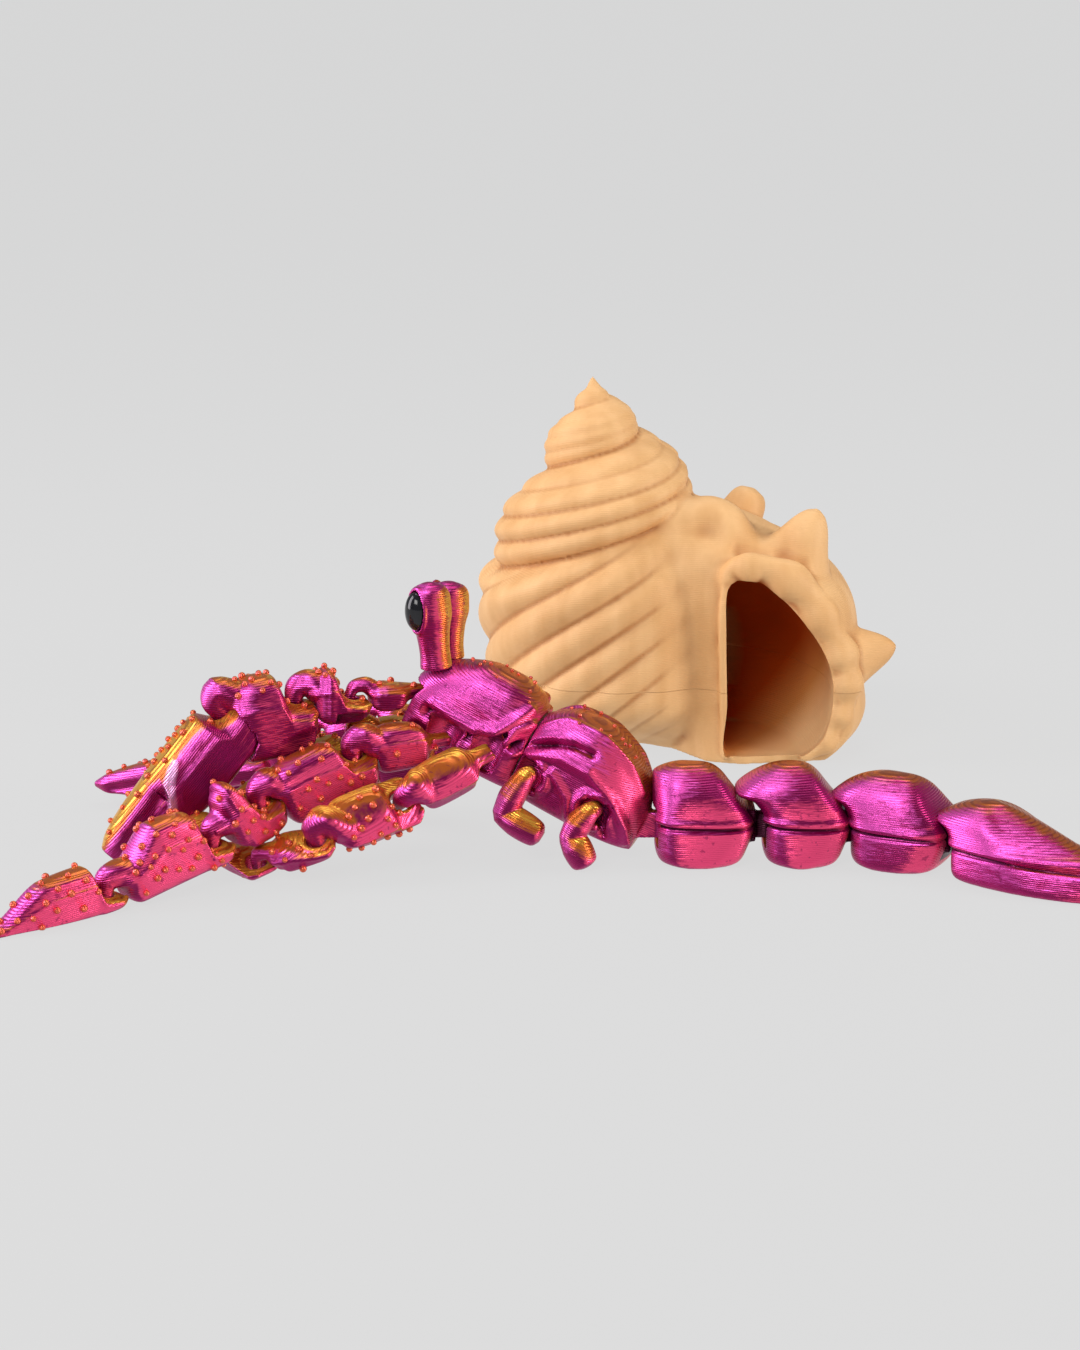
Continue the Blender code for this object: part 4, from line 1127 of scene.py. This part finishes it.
eyestalk = {
    "foot": (53.0, 4.3, 6.2), "shares": (0.16, 0.42, 0.62, 0.82, 0.94, 1.0),
    "radii": (3.3, 3.1, 3.5, 4.3, 4.3, 3.3, 1.0), "eyeShare": 0.68, "eyeShift": (2.8, 2.0), "eyeTurn": 34.0,
    "ball": (2.15, 2.6, 3.95), "socket": (2.35, 2.85, 4.2), "lid": (2.0, 2.7, 4.1), "lidShift": -0.2,
}


def eyestalkStand(side):
    forward, out, up = eyestalk["foot"]
    return pose(bodyPlace @ Vector((forward, out * side, up)))


def addBall(segments, rings):
    deselectAll()
    bpy.ops.mesh.primitive_uv_sphere_add(segments=segments, ring_count=rings, radius=1.0)
    return bpy.context.object


def stretched(sizes):
    return Matrix.Diagonal((*sizes, 1))


def buildEyestalk(label, side, lean):
    stand = eyestalkStand(side)
    path = [(0, 0, -0.4)] + [tuple(c * share for c in lean) for share in eyestalk["shares"]]
    stalk = growRings("stalk", tubeRings(path, eyestalk["radii"], sides=32, steps=6))
    forward, out = eyestalk["eyeShift"]
    spot = stand @ (Vector(lean) * eyestalk["eyeShare"] + Vector((forward, out * side, 0)))
    eyePlace = pose(spot, eyestalk["eyeTurn"] * side)
    onStalk = stand.inverted() @ eyePlace
    deselectAll()
    bpy.ops.mesh.primitive_torus_add(
        major_segments=48, minor_segments=12, major_radius=1.0, minor_radius=0.22)
    rim = bpy.context.object
    upright = Matrix.Rotation(math.pi / 2, 4, "Y")
    lidPlace = Matrix.Translation((eyestalk["lidShift"], 0, 0)) @ stretched(eyestalk["lid"]) @ upright
    rim.data.transform(onStalk @ lidPlace)
    joinInto(stalk, [rim])
    fuse(stalk, smallVoxel)
    socket = addBall(24, 16)
    socket.data.transform(onStalk @ stretched(eyestalk["socket"]))
    carve(stalk, socket)
    fuse(stalk, smallVoxel)
    relax(stalk, 0.5, 2)
    storeHollow(stalk, 12, 0.5)
    finishPiece(stalk, stand, f"{label}_eyestalk", "front_body", rings=0.0,
                gold=(0.96, -0.2, 0.1), goldLift=0.02)
    eye = addBall(48, 32)
    eye.data.transform(stretched(eyestalk["ball"]))
    finishPiece(eye, eyePlace, f"{label}_eye", "front_body", eyeMaterial, "eye_black")


def buildSmallLeg(name, forward, side, knee, tip):
    place = bodyPlace.copy()
    place.translation = smallLegSocket(forward, side)
    knee, tip = (Vector((x, y * side, z)) for x, y, z in (knee, tip))
    path = (Vector((0, -0.8 * side, 0)), Vector((0.3, 2.2 * side, 0.3)),
            knee * 0.6 + Vector((0.4, 0.8 * side, 0.4)), knee, knee.lerp(tip, 0.35), knee.lerp(tip, 0.9), tip)
    piece = growRings(name, tubeRings(path, smallLegRadii, sides=24, steps=6))
    fuse(piece, smallVoxel)
    relax(piece, 0.5, 2)
    trimUnderTable(piece, place)
    storeHollow(piece, 12, 0.5)
    finishPiece(piece, place, name, name + "_limb", gold=(0.1, -0.35, 0.93), goldLift=0.08, rings=0.0)


# ---- tail ----

tailStart = (26.4, 0.0)
# name, joint spacing, heading, half width, height
tail = (("tail_1", 21.8, 180.0, 9.9, 19.9), ("tail_2", 19.4, 179.0, 10.1, 20.0),
        ("tail_3", 22.4, 154.0, 10.0, 18.2), ("tail_4", 33.5, 141.0, 9.8, 15.0))
# share of height, front edge, rear edge, share of half width
tailLevels = (
    (0.0, -1.0, -8.2, 0.9), (0.04, -2.4, -6.8, 0.97), (0.13, -3.1, -5.7, 1.0), (0.39, -3.3, -4.2, 1.0),
    (0.57, -3.8, -5.6, 0.98), (0.69, -4.8, -7.6, 0.92), (0.78, -6.8, -9.0, 0.83), (0.87, -7.4, -10.4, 0.68),
    (0.95, -5.4, -12.2, 0.44), (0.99, -2.0, -14.2, 0.22), (1.0, 0.6, -16.2, 0.05))
# for each segment: how far its hood reaches further forward, and how much the top droops in front and behind
tailShapes = ((0.0, 3.4, 2.2), (1.4, 3.0, 1.2), (1.0, 2.6, 2.6), (0.8, 1.8, 1.0))
tailLink = {"low": 4.3, "high": 9.6, "pin": 1.3, "pinLength": 9.4, "ring": 3.1, "hole": 1.8,
            "slotLow": (-20.0, -5.9, 3.4), "slotHigh": (3.8, 5.9, 11.4)}
tailWork = {"voxel": 0.3, "softening": 8}
tailLobes = {"gold": (0.2, 0.42, 0.88), "goldLift": -0.02, "salmon": (0.5, -0.83, -0.25), "salmonLift": 0.04}
tailSlit = {"height": 0.42, "deep": 1.15, "width": 0.42, "lip": 0.5, "lipWidth": 0.8, "sag": 0.02}


def tailTongue(start):
    ring = tailLink["ring"]
    outline = [(start, 1.6), (-2.7, 1.6)]
    outline += [(ring * math.cos(a), ring * math.sin(a)) for a in (2.2, 1.4, 0.5)]
    outline += [(x, -y) for x, y in reversed(outline)]
    levels = (tailLink["low"], tailLink["high"])
    piece = growRings("tongue", [[Vector((x, y, z)) for x, y in outline] for z in levels])
    return carve(piece, addRod("hole", (0, 0, 0), tailLink["hole"], 60.0))


def smoothLoop(points, count):
    # even points round a closed smooth curve through a few given ones
    total = len(points)
    dense = []
    for i in range(total):
        p0, p1, p2, p3 = (points[(i + k) % total] for k in (-1, 0, 1, 2))
        for j in range(24):
            t = j / 24
            dense.append([0.5 * (2 * b + (c - a) * t + (2 * a - 5 * b + 4 * c - d) * t * t
                                 + (3 * b - a - 3 * c + d) * t ** 3) for a, b, c, d in zip(p0, p1, p2, p3)])
    dense.append(dense[0])
    lengths = [0.0]
    for one, other in zip(dense, dense[1:]):
        lengths.append(lengths[-1] + math.dist(one, other))
    loop, k = [], 0
    for i in range(count):
        want = lengths[-1] * i / count
        while lengths[k + 1] < want:
            k += 1
        t = (want - lengths[k]) / max(lengths[k + 1] - lengths[k], 1e-9)
        loop.append([a + (b - a) * t for a, b in zip(dense[k], dense[k + 1])])
    return loop


def tailOutline(front, rear, half):
    middle = front + (rear - front) * 0.42
    side = [(front, half * 0.36), (front + 0.9, half * 0.7), (front + 3.4, half * 0.94), (middle, half),
            (rear - 5.0, half * 0.93), (rear - 1.3, half * 0.58)]
    return side + [(x, -y) for x, y in reversed(side)]


def slitDepth(points, tall, end):
    # a slit with an overhanging lip runs round the side, and closes towards the rear
    middle = tailSlit["height"] * tall - tailSlit["sag"] * points[:, 0]
    offset = points[:, 2] - middle
    outer = (np.abs(points[:, 1]) > 5.0) | (points[:, 0] > 12.0)
    open_ = np.clip((end - points[:, 0]) / 5.0, 0, 1) * outer
    groove = tailSlit["deep"] * np.exp(-(offset / tailSlit["width"]) ** 2)
    lip = tailSlit["lip"] * np.exp(-((offset - 1.1) / tailSlit["lipWidth"]) ** 2)
    return (lip - groove) * open_


def darkenJoint(piece, length, tall):
    # the neck and the ring lie in the shadow between two segments
    x, y, z = readSurface(piece)[0].T
    deep = (x > length - 6.8) & (np.abs(y) < 5.2) & (z > 2.6) & (z < tall * 0.66)
    storeFloat(piece, "hollow", np.maximum(readFloat(piece, "hollow"), deep))


def buildTailSegment(index, joint):
    name, length, heading, half, tall = tail[index]
    hood, frontDroop, rearDroop = tailShapes[index]
    last = index == len(tail) - 1
    place = pose((joint.x, joint.y, 0.0), heading)
    rings = []
    for i in range(61):
        height = tall * (0.5 - 0.5 * math.cos(math.pi * i / 60))
        share = height / tall
        frontEdge, rearEdge, wide = spline(tailLevels, share)
        if index == 0:
            frontEdge = max(frontEdge, -3.6)
        frontEdge -= hood * min(max((share - 0.5) / 0.3, 0.0), 1.0)
        if last:
            reach = max(length * (1.0 - 0.86 * max(share - 0.3, 0.0) / 0.7), frontEdge + 5.0)
            side = [(frontEdge, 0.4), (frontEdge + 0.9, 0.72), (frontEdge + 3.4, 0.94), (reach * 0.34, 1.0),
                    (reach * 0.62, 0.84 - 0.16 * share), (reach * 0.86, 0.5 - 0.1 * share), (reach, 0.16)]
            side = [(x, half * wide * y) for x, y in side]
            outline = side + [(x, -y) for x, y in reversed(side)]
        else:
            outline = tailOutline(frontEdge, length + rearEdge, half * wide)
        ring = []
        for x, y in smoothLoop(outline, 120):
            before, after = max(3.0 - x, 0.0) / 10.0, max(x - length + 12.0, 0.0) / 8.0
            fall = (frontDroop * before ** 2 + rearDroop * after ** 2) * max(share - 0.5, 0.0) * 2.0
            ring.append(Vector((x, y, height - fall)))
        rings.append(ring)
    piece = growRings(name, rings)
    carve(piece, addBox("slot", tailLink["slotLow"], tailLink["slotHigh"]))
    extras = [addRod("pin", (0, 0, 7.4), tailLink["pin"], tailLink["pinLength"])]
    end = place @ Vector((length, 0, 0))
    if not last:
        tongue = tailTongue(-9.0)
        tongue.data.transform(Matrix.Translation((length, 0, 0)))
        extras += [tongue, addBox("neck", (length - 12.0, -4.6, 4.4), (length - 4.8, 4.2, 11.0))]
    joinInto(piece, extras)
    fuse(piece, tailWork["voxel"])
    relax(piece, 0.5, tailWork["softening"])
    ripple(piece, lambda points, normals: slitDepth(points, tall, length - 4.0))
    storeHollow(piece, 12, 0.5)
    if not last:
        darkenJoint(piece, length, tall)
    finishPiece(piece, place, name, name, rings=0.97, **tailLobes)
    return end


def buildTail():
    joint = Vector((*tailStart, 0.0))
    for index in range(len(tail)):
        joint = buildTailSegment(index, joint)
    print("tail built")


# ---- shell ----

shell = {
    "tip": (11.8, 95.0, 84.4), "lean": 0.13, "slope": 0.61, "whorlSlope": 0.67, "seam": 17.0, "gap": 0.08,
    "lipAngle": -22.0, "columellaAngle": -49.0, "creaseAngle": -59.0, "mouthPlane": 26.6,
    "angles": 400, "levels": 300, "voxel": 0.5,
    "ribDepth": 1.7, "ribsPerWhorl": 4.0, "bodyRibDepth": 2.1, "bodyRibSpacing": 10.2, "bodyRibSlant": 16.5,
    "bodyRibClosing": 0.4, "bodyRibEnd": 15.0,
}
sutures = (3.0, 4.8, 7.2, 13.2, 19.4, 28.6, 40.6)
# radius of the last whorl by angle; then the share of it left low down
lastWhorl = ((-22, 55.6), (0, 53.2), (40, 49.0), (90, 42.0), (135, 36.0), (180, 32.4), (225, 30.0),
             (270, 28.0), (300, 27.5))
tuck = ((-49, 0.97), (-36, 0.86), (-22, 0.74), (0, 0.72), (40, 0.76), (90, 0.66), (135, 0.56), (180, 0.46),
        (240, 0.3), (270, 0.22), (285, 0.3), (301, 0.5))
# share of the radius left at the table where the last whorl curls under, round the left side
underside = ((120, 1.0), (180, 0.62), (225, 0.42), (262, 0.36), (284, 0.42), (301, 0.62))
mouth = ((42.2, 1.0), (41.8, 15.0), (41.4, 30.0), (41.5, 39.6), (44.2, 42.4), (49.4, 41.4), (55.0, 37.0),
         (60.0, 31.2), (63.6, 25.4), (65.4, 19.6), (65.4, 12.0), (62.8, 4.8), (56.0, 1.0))
# the rolled lip round the mouth: sideways, up, thickness; and the strip along the columella
lipLine = ((41.4, 40.6, 1.4), (42.8, 44.4, 2.8), (49.4, 45.2, 3.7), (57.4, 40.6, 4.2), (62.8, 33.4, 4.0),
           (66.8, 26.0, 3.8), (68.4, 20.4, 3.9), (68.2, 14.0, 3.1), (66.4, 8.8, 2.6), (63.6, 4.0, 2.3),
           (58.6, 1.8, 1.6))
columellaLine = ((41.2, 69.2, 41.0), (40.7, 67.9, 34.0), (40.9, 67.6, 20.0), (41.4, 67.8, 8.0),
                 (41.8, 68.4, 1.6))
# the shoulder of the last whorl, from under the whorl before it round to the columella: place, thickness
keelLine = ((26.0, 79.0, 50.6, 2.6), (32.0, 82.0, 52.6, 4.6), (37.6, 84.0, 53.2, 5.8),
            (41.6, 83.0, 50.8, 6.2), (42.8, 80.0, 47.4, 5.8), (41.4, 76.6, 43.4, 4.8),
            (39.6, 75.4, 37.0, 2.4))
keelFill = ((30.0, 82.0, 46.0, 4.0), (34.0, 79.5, 45.6, 5.4), (38.4, 77.6, 44.4, 5.6),
            (40.6, 75.4, 40.6, 3.6))
# where the added shapes are evened out: place, reach
calmSpots = (
    ((35.0, 77.0, 46.0), 12.0), ((43.0, 79.0, 50.0), 10.0), ((38.0, 84.0, 55.0), 9.0),
    ((36.0, 70.5, 8.0), 8.0), ((35.0, 70.5, 16.0), 8.0), ((34.0, 70.5, 24.0), 8.0),
    ((33.0, 70.5, 32.0), 8.0), ((32.0, 71.0, 40.0), 8.0),
    ((44.0, 74.5, 48.5), 6.5), ((50.0, 75.5, 50.0), 6.5), ((57.0, 76.0, 46.0), 6.0),
    ((63.0, 76.0, 38.0), 6.0), ((67.5, 76.0, 30.0), 6.0))
# sunk stretches: places, width, height; then the spikes: root, tip, radius at the root, bluntness
hollows = ((((45.0, 73.0, 49.6), (52.0, 73.0, 49.4), (58.0, 74.0, 45.6)), 2.6, -1.6),)
spikes = (((55.6, 80.0, 41.0), (62.4, 79.4, 56.4), 9.0, 0.2),
          ((66.0, 78.0, 22.0), (80.2, 75.0, 26.0), 8.4, 0.16),
          ((44.0, 111.0, 43.0), (50.4, 113.0, 55.0), 7.6, 0.34),
          ((56.0, 112.0, 26.0), (67.6, 120.0, 32.0), 6.6, 0.2))
cavityRoute = (  # place behind the mouth, sideways shift and lift, growth, turn
    (58.0, 0.0, 0.0, 1.0, 0.0), (72.0, 0.0, 0.0, 1.0, 0.0), (86.0, -1.5, 0.0, 1.0, 8.0),
    (101.0, -9.0, 0.4, 0.96, 30.0), (110.0, -24.0, 1.0, 0.8, 62.0), (110.0, -40.0, 1.5, 0.66, 95.0),
    (102.0, -50.0, 2.0, 0.46, 125.0))


def sutureDrop(turns):
    table = [(i - 1, drop) for i, drop in enumerate(sutures)]
    if turns > table[-1][0]:
        return table[-1][1] - (turns - table[-1][0]) * 11.8
    return spline(table, turns)[0]


def lastWhorlRadius(angle):
    if angle >= shell["lipAngle"]:
        return spline(lastWhorl, angle)[0]
    if angle > shell["columellaAngle"]:
        return min(shell["mouthPlane"] / math.sin(math.radians(-angle)), lastWhorl[0][1])
    share = (angle - shell["creaseAngle"]) / (shell["columellaAngle"] - shell["creaseAngle"])
    edge = shell["mouthPlane"] / math.sin(math.radians(-shell["columellaAngle"]))
    return lastWhorl[-1][1] + (edge - lastWhorl[-1][1]) * max(share, 0.0)


def lastWhorlRise(angle, below, height):
    roundSide = 0.5 + 0.5 * math.cos(math.radians(angle))
    run = 7.0 + 22.0 * roundSide
    rise = 1.0 - max(1.0 - below / run, 0.0) ** 2.4
    start = 22.0 - 10.0 * roundSide
    if height < start:
        rise *= 1.0 - (1.0 - spline(tuck, angle)[0]) * (1.0 - height / start) ** 2.2
    return rise


def rib(phase):
    # round ridges with narrow valleys
    return abs(math.sin(math.pi * phase)) ** 0.8 - 0.6


def shellRadius(angle, height):
    depth = shell["tip"][2] - height
    drop = max(depth + shell["lean"] * shell["slope"] * depth * math.cos(math.radians(angle)), 0.0)
    turn = (360.0 - angle) / 180.0 if angle > 0 else -angle / 180.0
    upper = None
    for whorl in range(-1, 3):
        level = sutureDrop(2 * whorl + turn)
        if level <= drop:
            upper = (2 * whorl + turn, level)
    if upper is None:
        return max(shell["slope"] * drop, 0.05)
    turns, level = upper
    start = shell["slope"] * level
    if turns < 4.0:
        lower = sutureDrop(turns + 2)
        share = min((drop - level) / max(lower - level, 0.1), 1.0)
        power = 3.2 if turns < 2.0 else 2.8
        swell = start + (shell["whorlSlope"] * lower - start) * (1.0 - (1.0 - share) ** power)
        deep = shell["ribDepth"] * min(level / 18.0, 1.0)
        return swell + deep * rib(share * shell["ribsPerWhorl"])
    below = drop - level
    swell = start + (lastWhorlRadius(angle) - start) * lastWhorlRise(angle, below, height)
    # the ribs climb towards the columella and draw together there; on the shoulder they run on in front
    last = shell["bodyRibEnd"]
    fade = min(abs(angle - last) / 8.0, 1.0)
    if angle < last:
        onShoulder = min(max((17.0 - below) / 5.0, 0.0), 1.0)
        beside = min(max((shell["columellaAngle"] - 2.0 - angle) / 5.0, 0.0), 1.0)
        fade *= max(onShoulder * 0.4, beside * 0.25)
    else:
        nearCrease = min(max((angle - 262.0) / 36.0, 0.0), 1.0)
        fade *= 1.0 - 0.85 * nearCrease * (1.0 - 0.4 * min(height / 50.0, 1.0))
    left = (301.0 - angle - (360.0 if angle < last else 0.0)) / 121.0
    closing = 1.0 + shell["bodyRibClosing"] * (1.0 - min(max(left, 0.0), 1.0))
    phase = (below * closing - shell["bodyRibSlant"] * left) / shell["bodyRibSpacing"]
    ribs = shell["bodyRibDepth"] * rib(phase) * fade
    ribs *= min(below / 4.0, 1.0) * min(height / 5.0, 1.0)
    share = spline(underside, angle)[0] if angle > last else 1.0
    under = 1.0 - (1.0 - share) * max(1.0 - height / 15.0, 0.0) ** 2.0
    return (swell + ribs) * under


def shellPlace(angle, height, radius):
    tip = shell["tip"]
    turn = math.radians(angle)
    return Vector((tip[0] + shell["lean"] * (tip[2] - height) + math.cos(turn) * radius,
                   tip[1] + math.sin(turn) * radius, height))


def buildShellForm():
    deselectAll()
    rings = shell["levels"]
    bpy.ops.mesh.primitive_uv_sphere_add(segments=shell["angles"], ring_count=rings, radius=1.0)
    piece = bpy.context.object
    for vert in piece.data.vertices:
        level = round(math.acos(max(-1.0, min(1.0, vert.co.z))) / math.pi * rings)
        angle = math.degrees(math.atan2(vert.co.y, vert.co.x))
        if angle < shell["creaseAngle"]:
            angle += 360.0
        if level == rings:
            vert.co = shellPlace(0.0, 0.0, 0.0)
            continue
        share = level / (rings - 1)
        height = shell["tip"][2] * (1.0 - share ** 0.8)
        vert.co = shellPlace(angle, height, shellRadius(angle, height) if level else 0.0)
    return piece


def buildCavity():
    middle = (54.0, 20.0)
    loop = smoothLoop(mouth, 72)
    rings = []
    rows = [(index, *row) for index, row in enumerate(cavityRoute)]
    for i in range((len(rows) - 1) * 6 + 1):
        y, shift, lift, growth, turned = spline(rows, i / 6)
        spin = Matrix.Rotation(math.radians(turned), 3, "Z")
        ring = []
        for across, up in loop:
            flat = spin @ (Vector((across - middle[0], 0.0, up - middle[1])) * growth)
            ring.append(Vector((middle[0] + shift + flat.x, y + flat.y, max(middle[1] + lift + flat.z, 1.8))))
        rings.append(ring)
    return growRings("cavity", rings)


def lipRings():
    # the lip swells into a row of soft knobs on its way round
    rows = [(index, *row) for index, row in enumerate(lipLine)]
    path, radii = [], []
    for i in range((len(rows) - 1) * 4 + 1):
        x, z, radius = spline(rows, i / 4)
        path.append((x, 70.2, z))
        radii.append(radius + 0.62 * math.sin(i * 1.3) * min(radius / 3.0, 1.0))
    return tubeRings(path, radii, sides=28, steps=2)


def shadeInside(form):
    # marks the inner wall, and how far it lies from the light
    points, normals = readSurface(form)
    x, y, z = points.T
    inward = ((53.0 - x) * normals[:, 0] + (20.0 - z) * normals[:, 2]) > 0
    near = (x > 36.0) & (x < 69.0) & (z < 46.0) & (y < 100.0)
    inside = np.where(near & inward, np.clip((y - 67.5) / 5.0, 0, 1), 0.0)
    rearWall = (y > 99.0) & (y < 112.0) & (z < 44.0) & (normals[:, 1] < -0.2)
    inside = np.maximum(inside, rearWall)
    shade = np.clip(0.95 - (x - 44.0) / 30.0 + (z - 18.0) / 34.0 + (y - 76.0) / 60.0, 0, 1)
    storeFloat(form, "inside", inside)
    storeFloat(form, "shade", shade)


def calmSurface(piece, spots, repeat):
    # evens out the surface near the given places, each with its own reach
    points = readSurface(piece)[0]
    weight = np.zeros(len(points))
    for middle, reach in spots:
        away = np.linalg.norm(points - np.array(middle), axis=1)
        weight = np.maximum(weight, np.clip((reach - away) / 4.0, 0, 1))
    group = piece.vertex_groups.new(name="calm")
    for index in np.nonzero(weight)[0]:
        group.add([int(index)], float(weight[index]), "REPLACE")
    smooth = piece.modifiers.new("calm", "SMOOTH")
    smooth.factor, smooth.iterations, smooth.vertex_group = 0.5, repeat, "calm"
    applyModifiers(piece)
    piece.vertex_groups.clear()


def buildShell():
    form = buildShellForm()
    extras = []
    for root, tip, radius, blunt in spikes:
        path = [Vector(root).lerp(Vector(tip), share) for share in (0.0, 0.45, 0.82, 0.96, 1.0)]
        shares = (1.3, 0.76, 0.22 + blunt, blunt, 0.04)
        extras.append(growRings("spike", tubeRings(path, [radius * s for s in shares], sides=36)))
    for line in (keelLine, keelFill):
        path, radii = [row[:3] for row in line], [row[3] for row in line]
        extras.append(growRings("keel", tubeRings(path, radii, sides=28)))
    extras.append(growRings("columella", tubeRings(columellaLine, (0.9, 1.1, 1.1, 1.3, 1.2), sides=20)))
    extras.append(growRings("lip", lipRings()))
    joinInto(form, extras)
    fuse(form, shell["voxel"])
    relax(form, 0.5, 2)
    calmSurface(form, calmSpots, 90)
    pressLines(form, hollows)
    carve(form, buildCavity())
    storeHollow(form, 14, 0.5)
    shadeInside(form)
    print("shell form carved")
    seam, gap = shell["seam"], shell["gap"] / 2
    halves = (("shell_upper", (-60, 20, seam + gap), (130, 200, 120)),
              ("shell_lower", (-60, 20, -5), (130, 200, seam - gap)))
    for node, low, high in halves:
        half = form.copy()
        half.data = form.data.copy()
        scene.collection.objects.link(half)
        carve(half, addBox("room", low, high), "INTERSECT")
        shadeInside(half)
        finishPiece(half, Matrix.Identity(4), node, "shell", tanMaterial, "tan_plastic", sharp=62)
    bpy.data.objects.remove(form, do_unlink=True)
    print("shell built")


buildShell()
buildTail()
buildThorax()
buildCarapace()
for values in eyestalks:
    buildEyestalk(*values)
for values in smallLegs:
    buildSmallLeg(*values)
print("front body built")
for limbName in limbs:
    buildLimb(limbName, "front_body" if limbName == "right_front_leg" else limbName + "_limb")
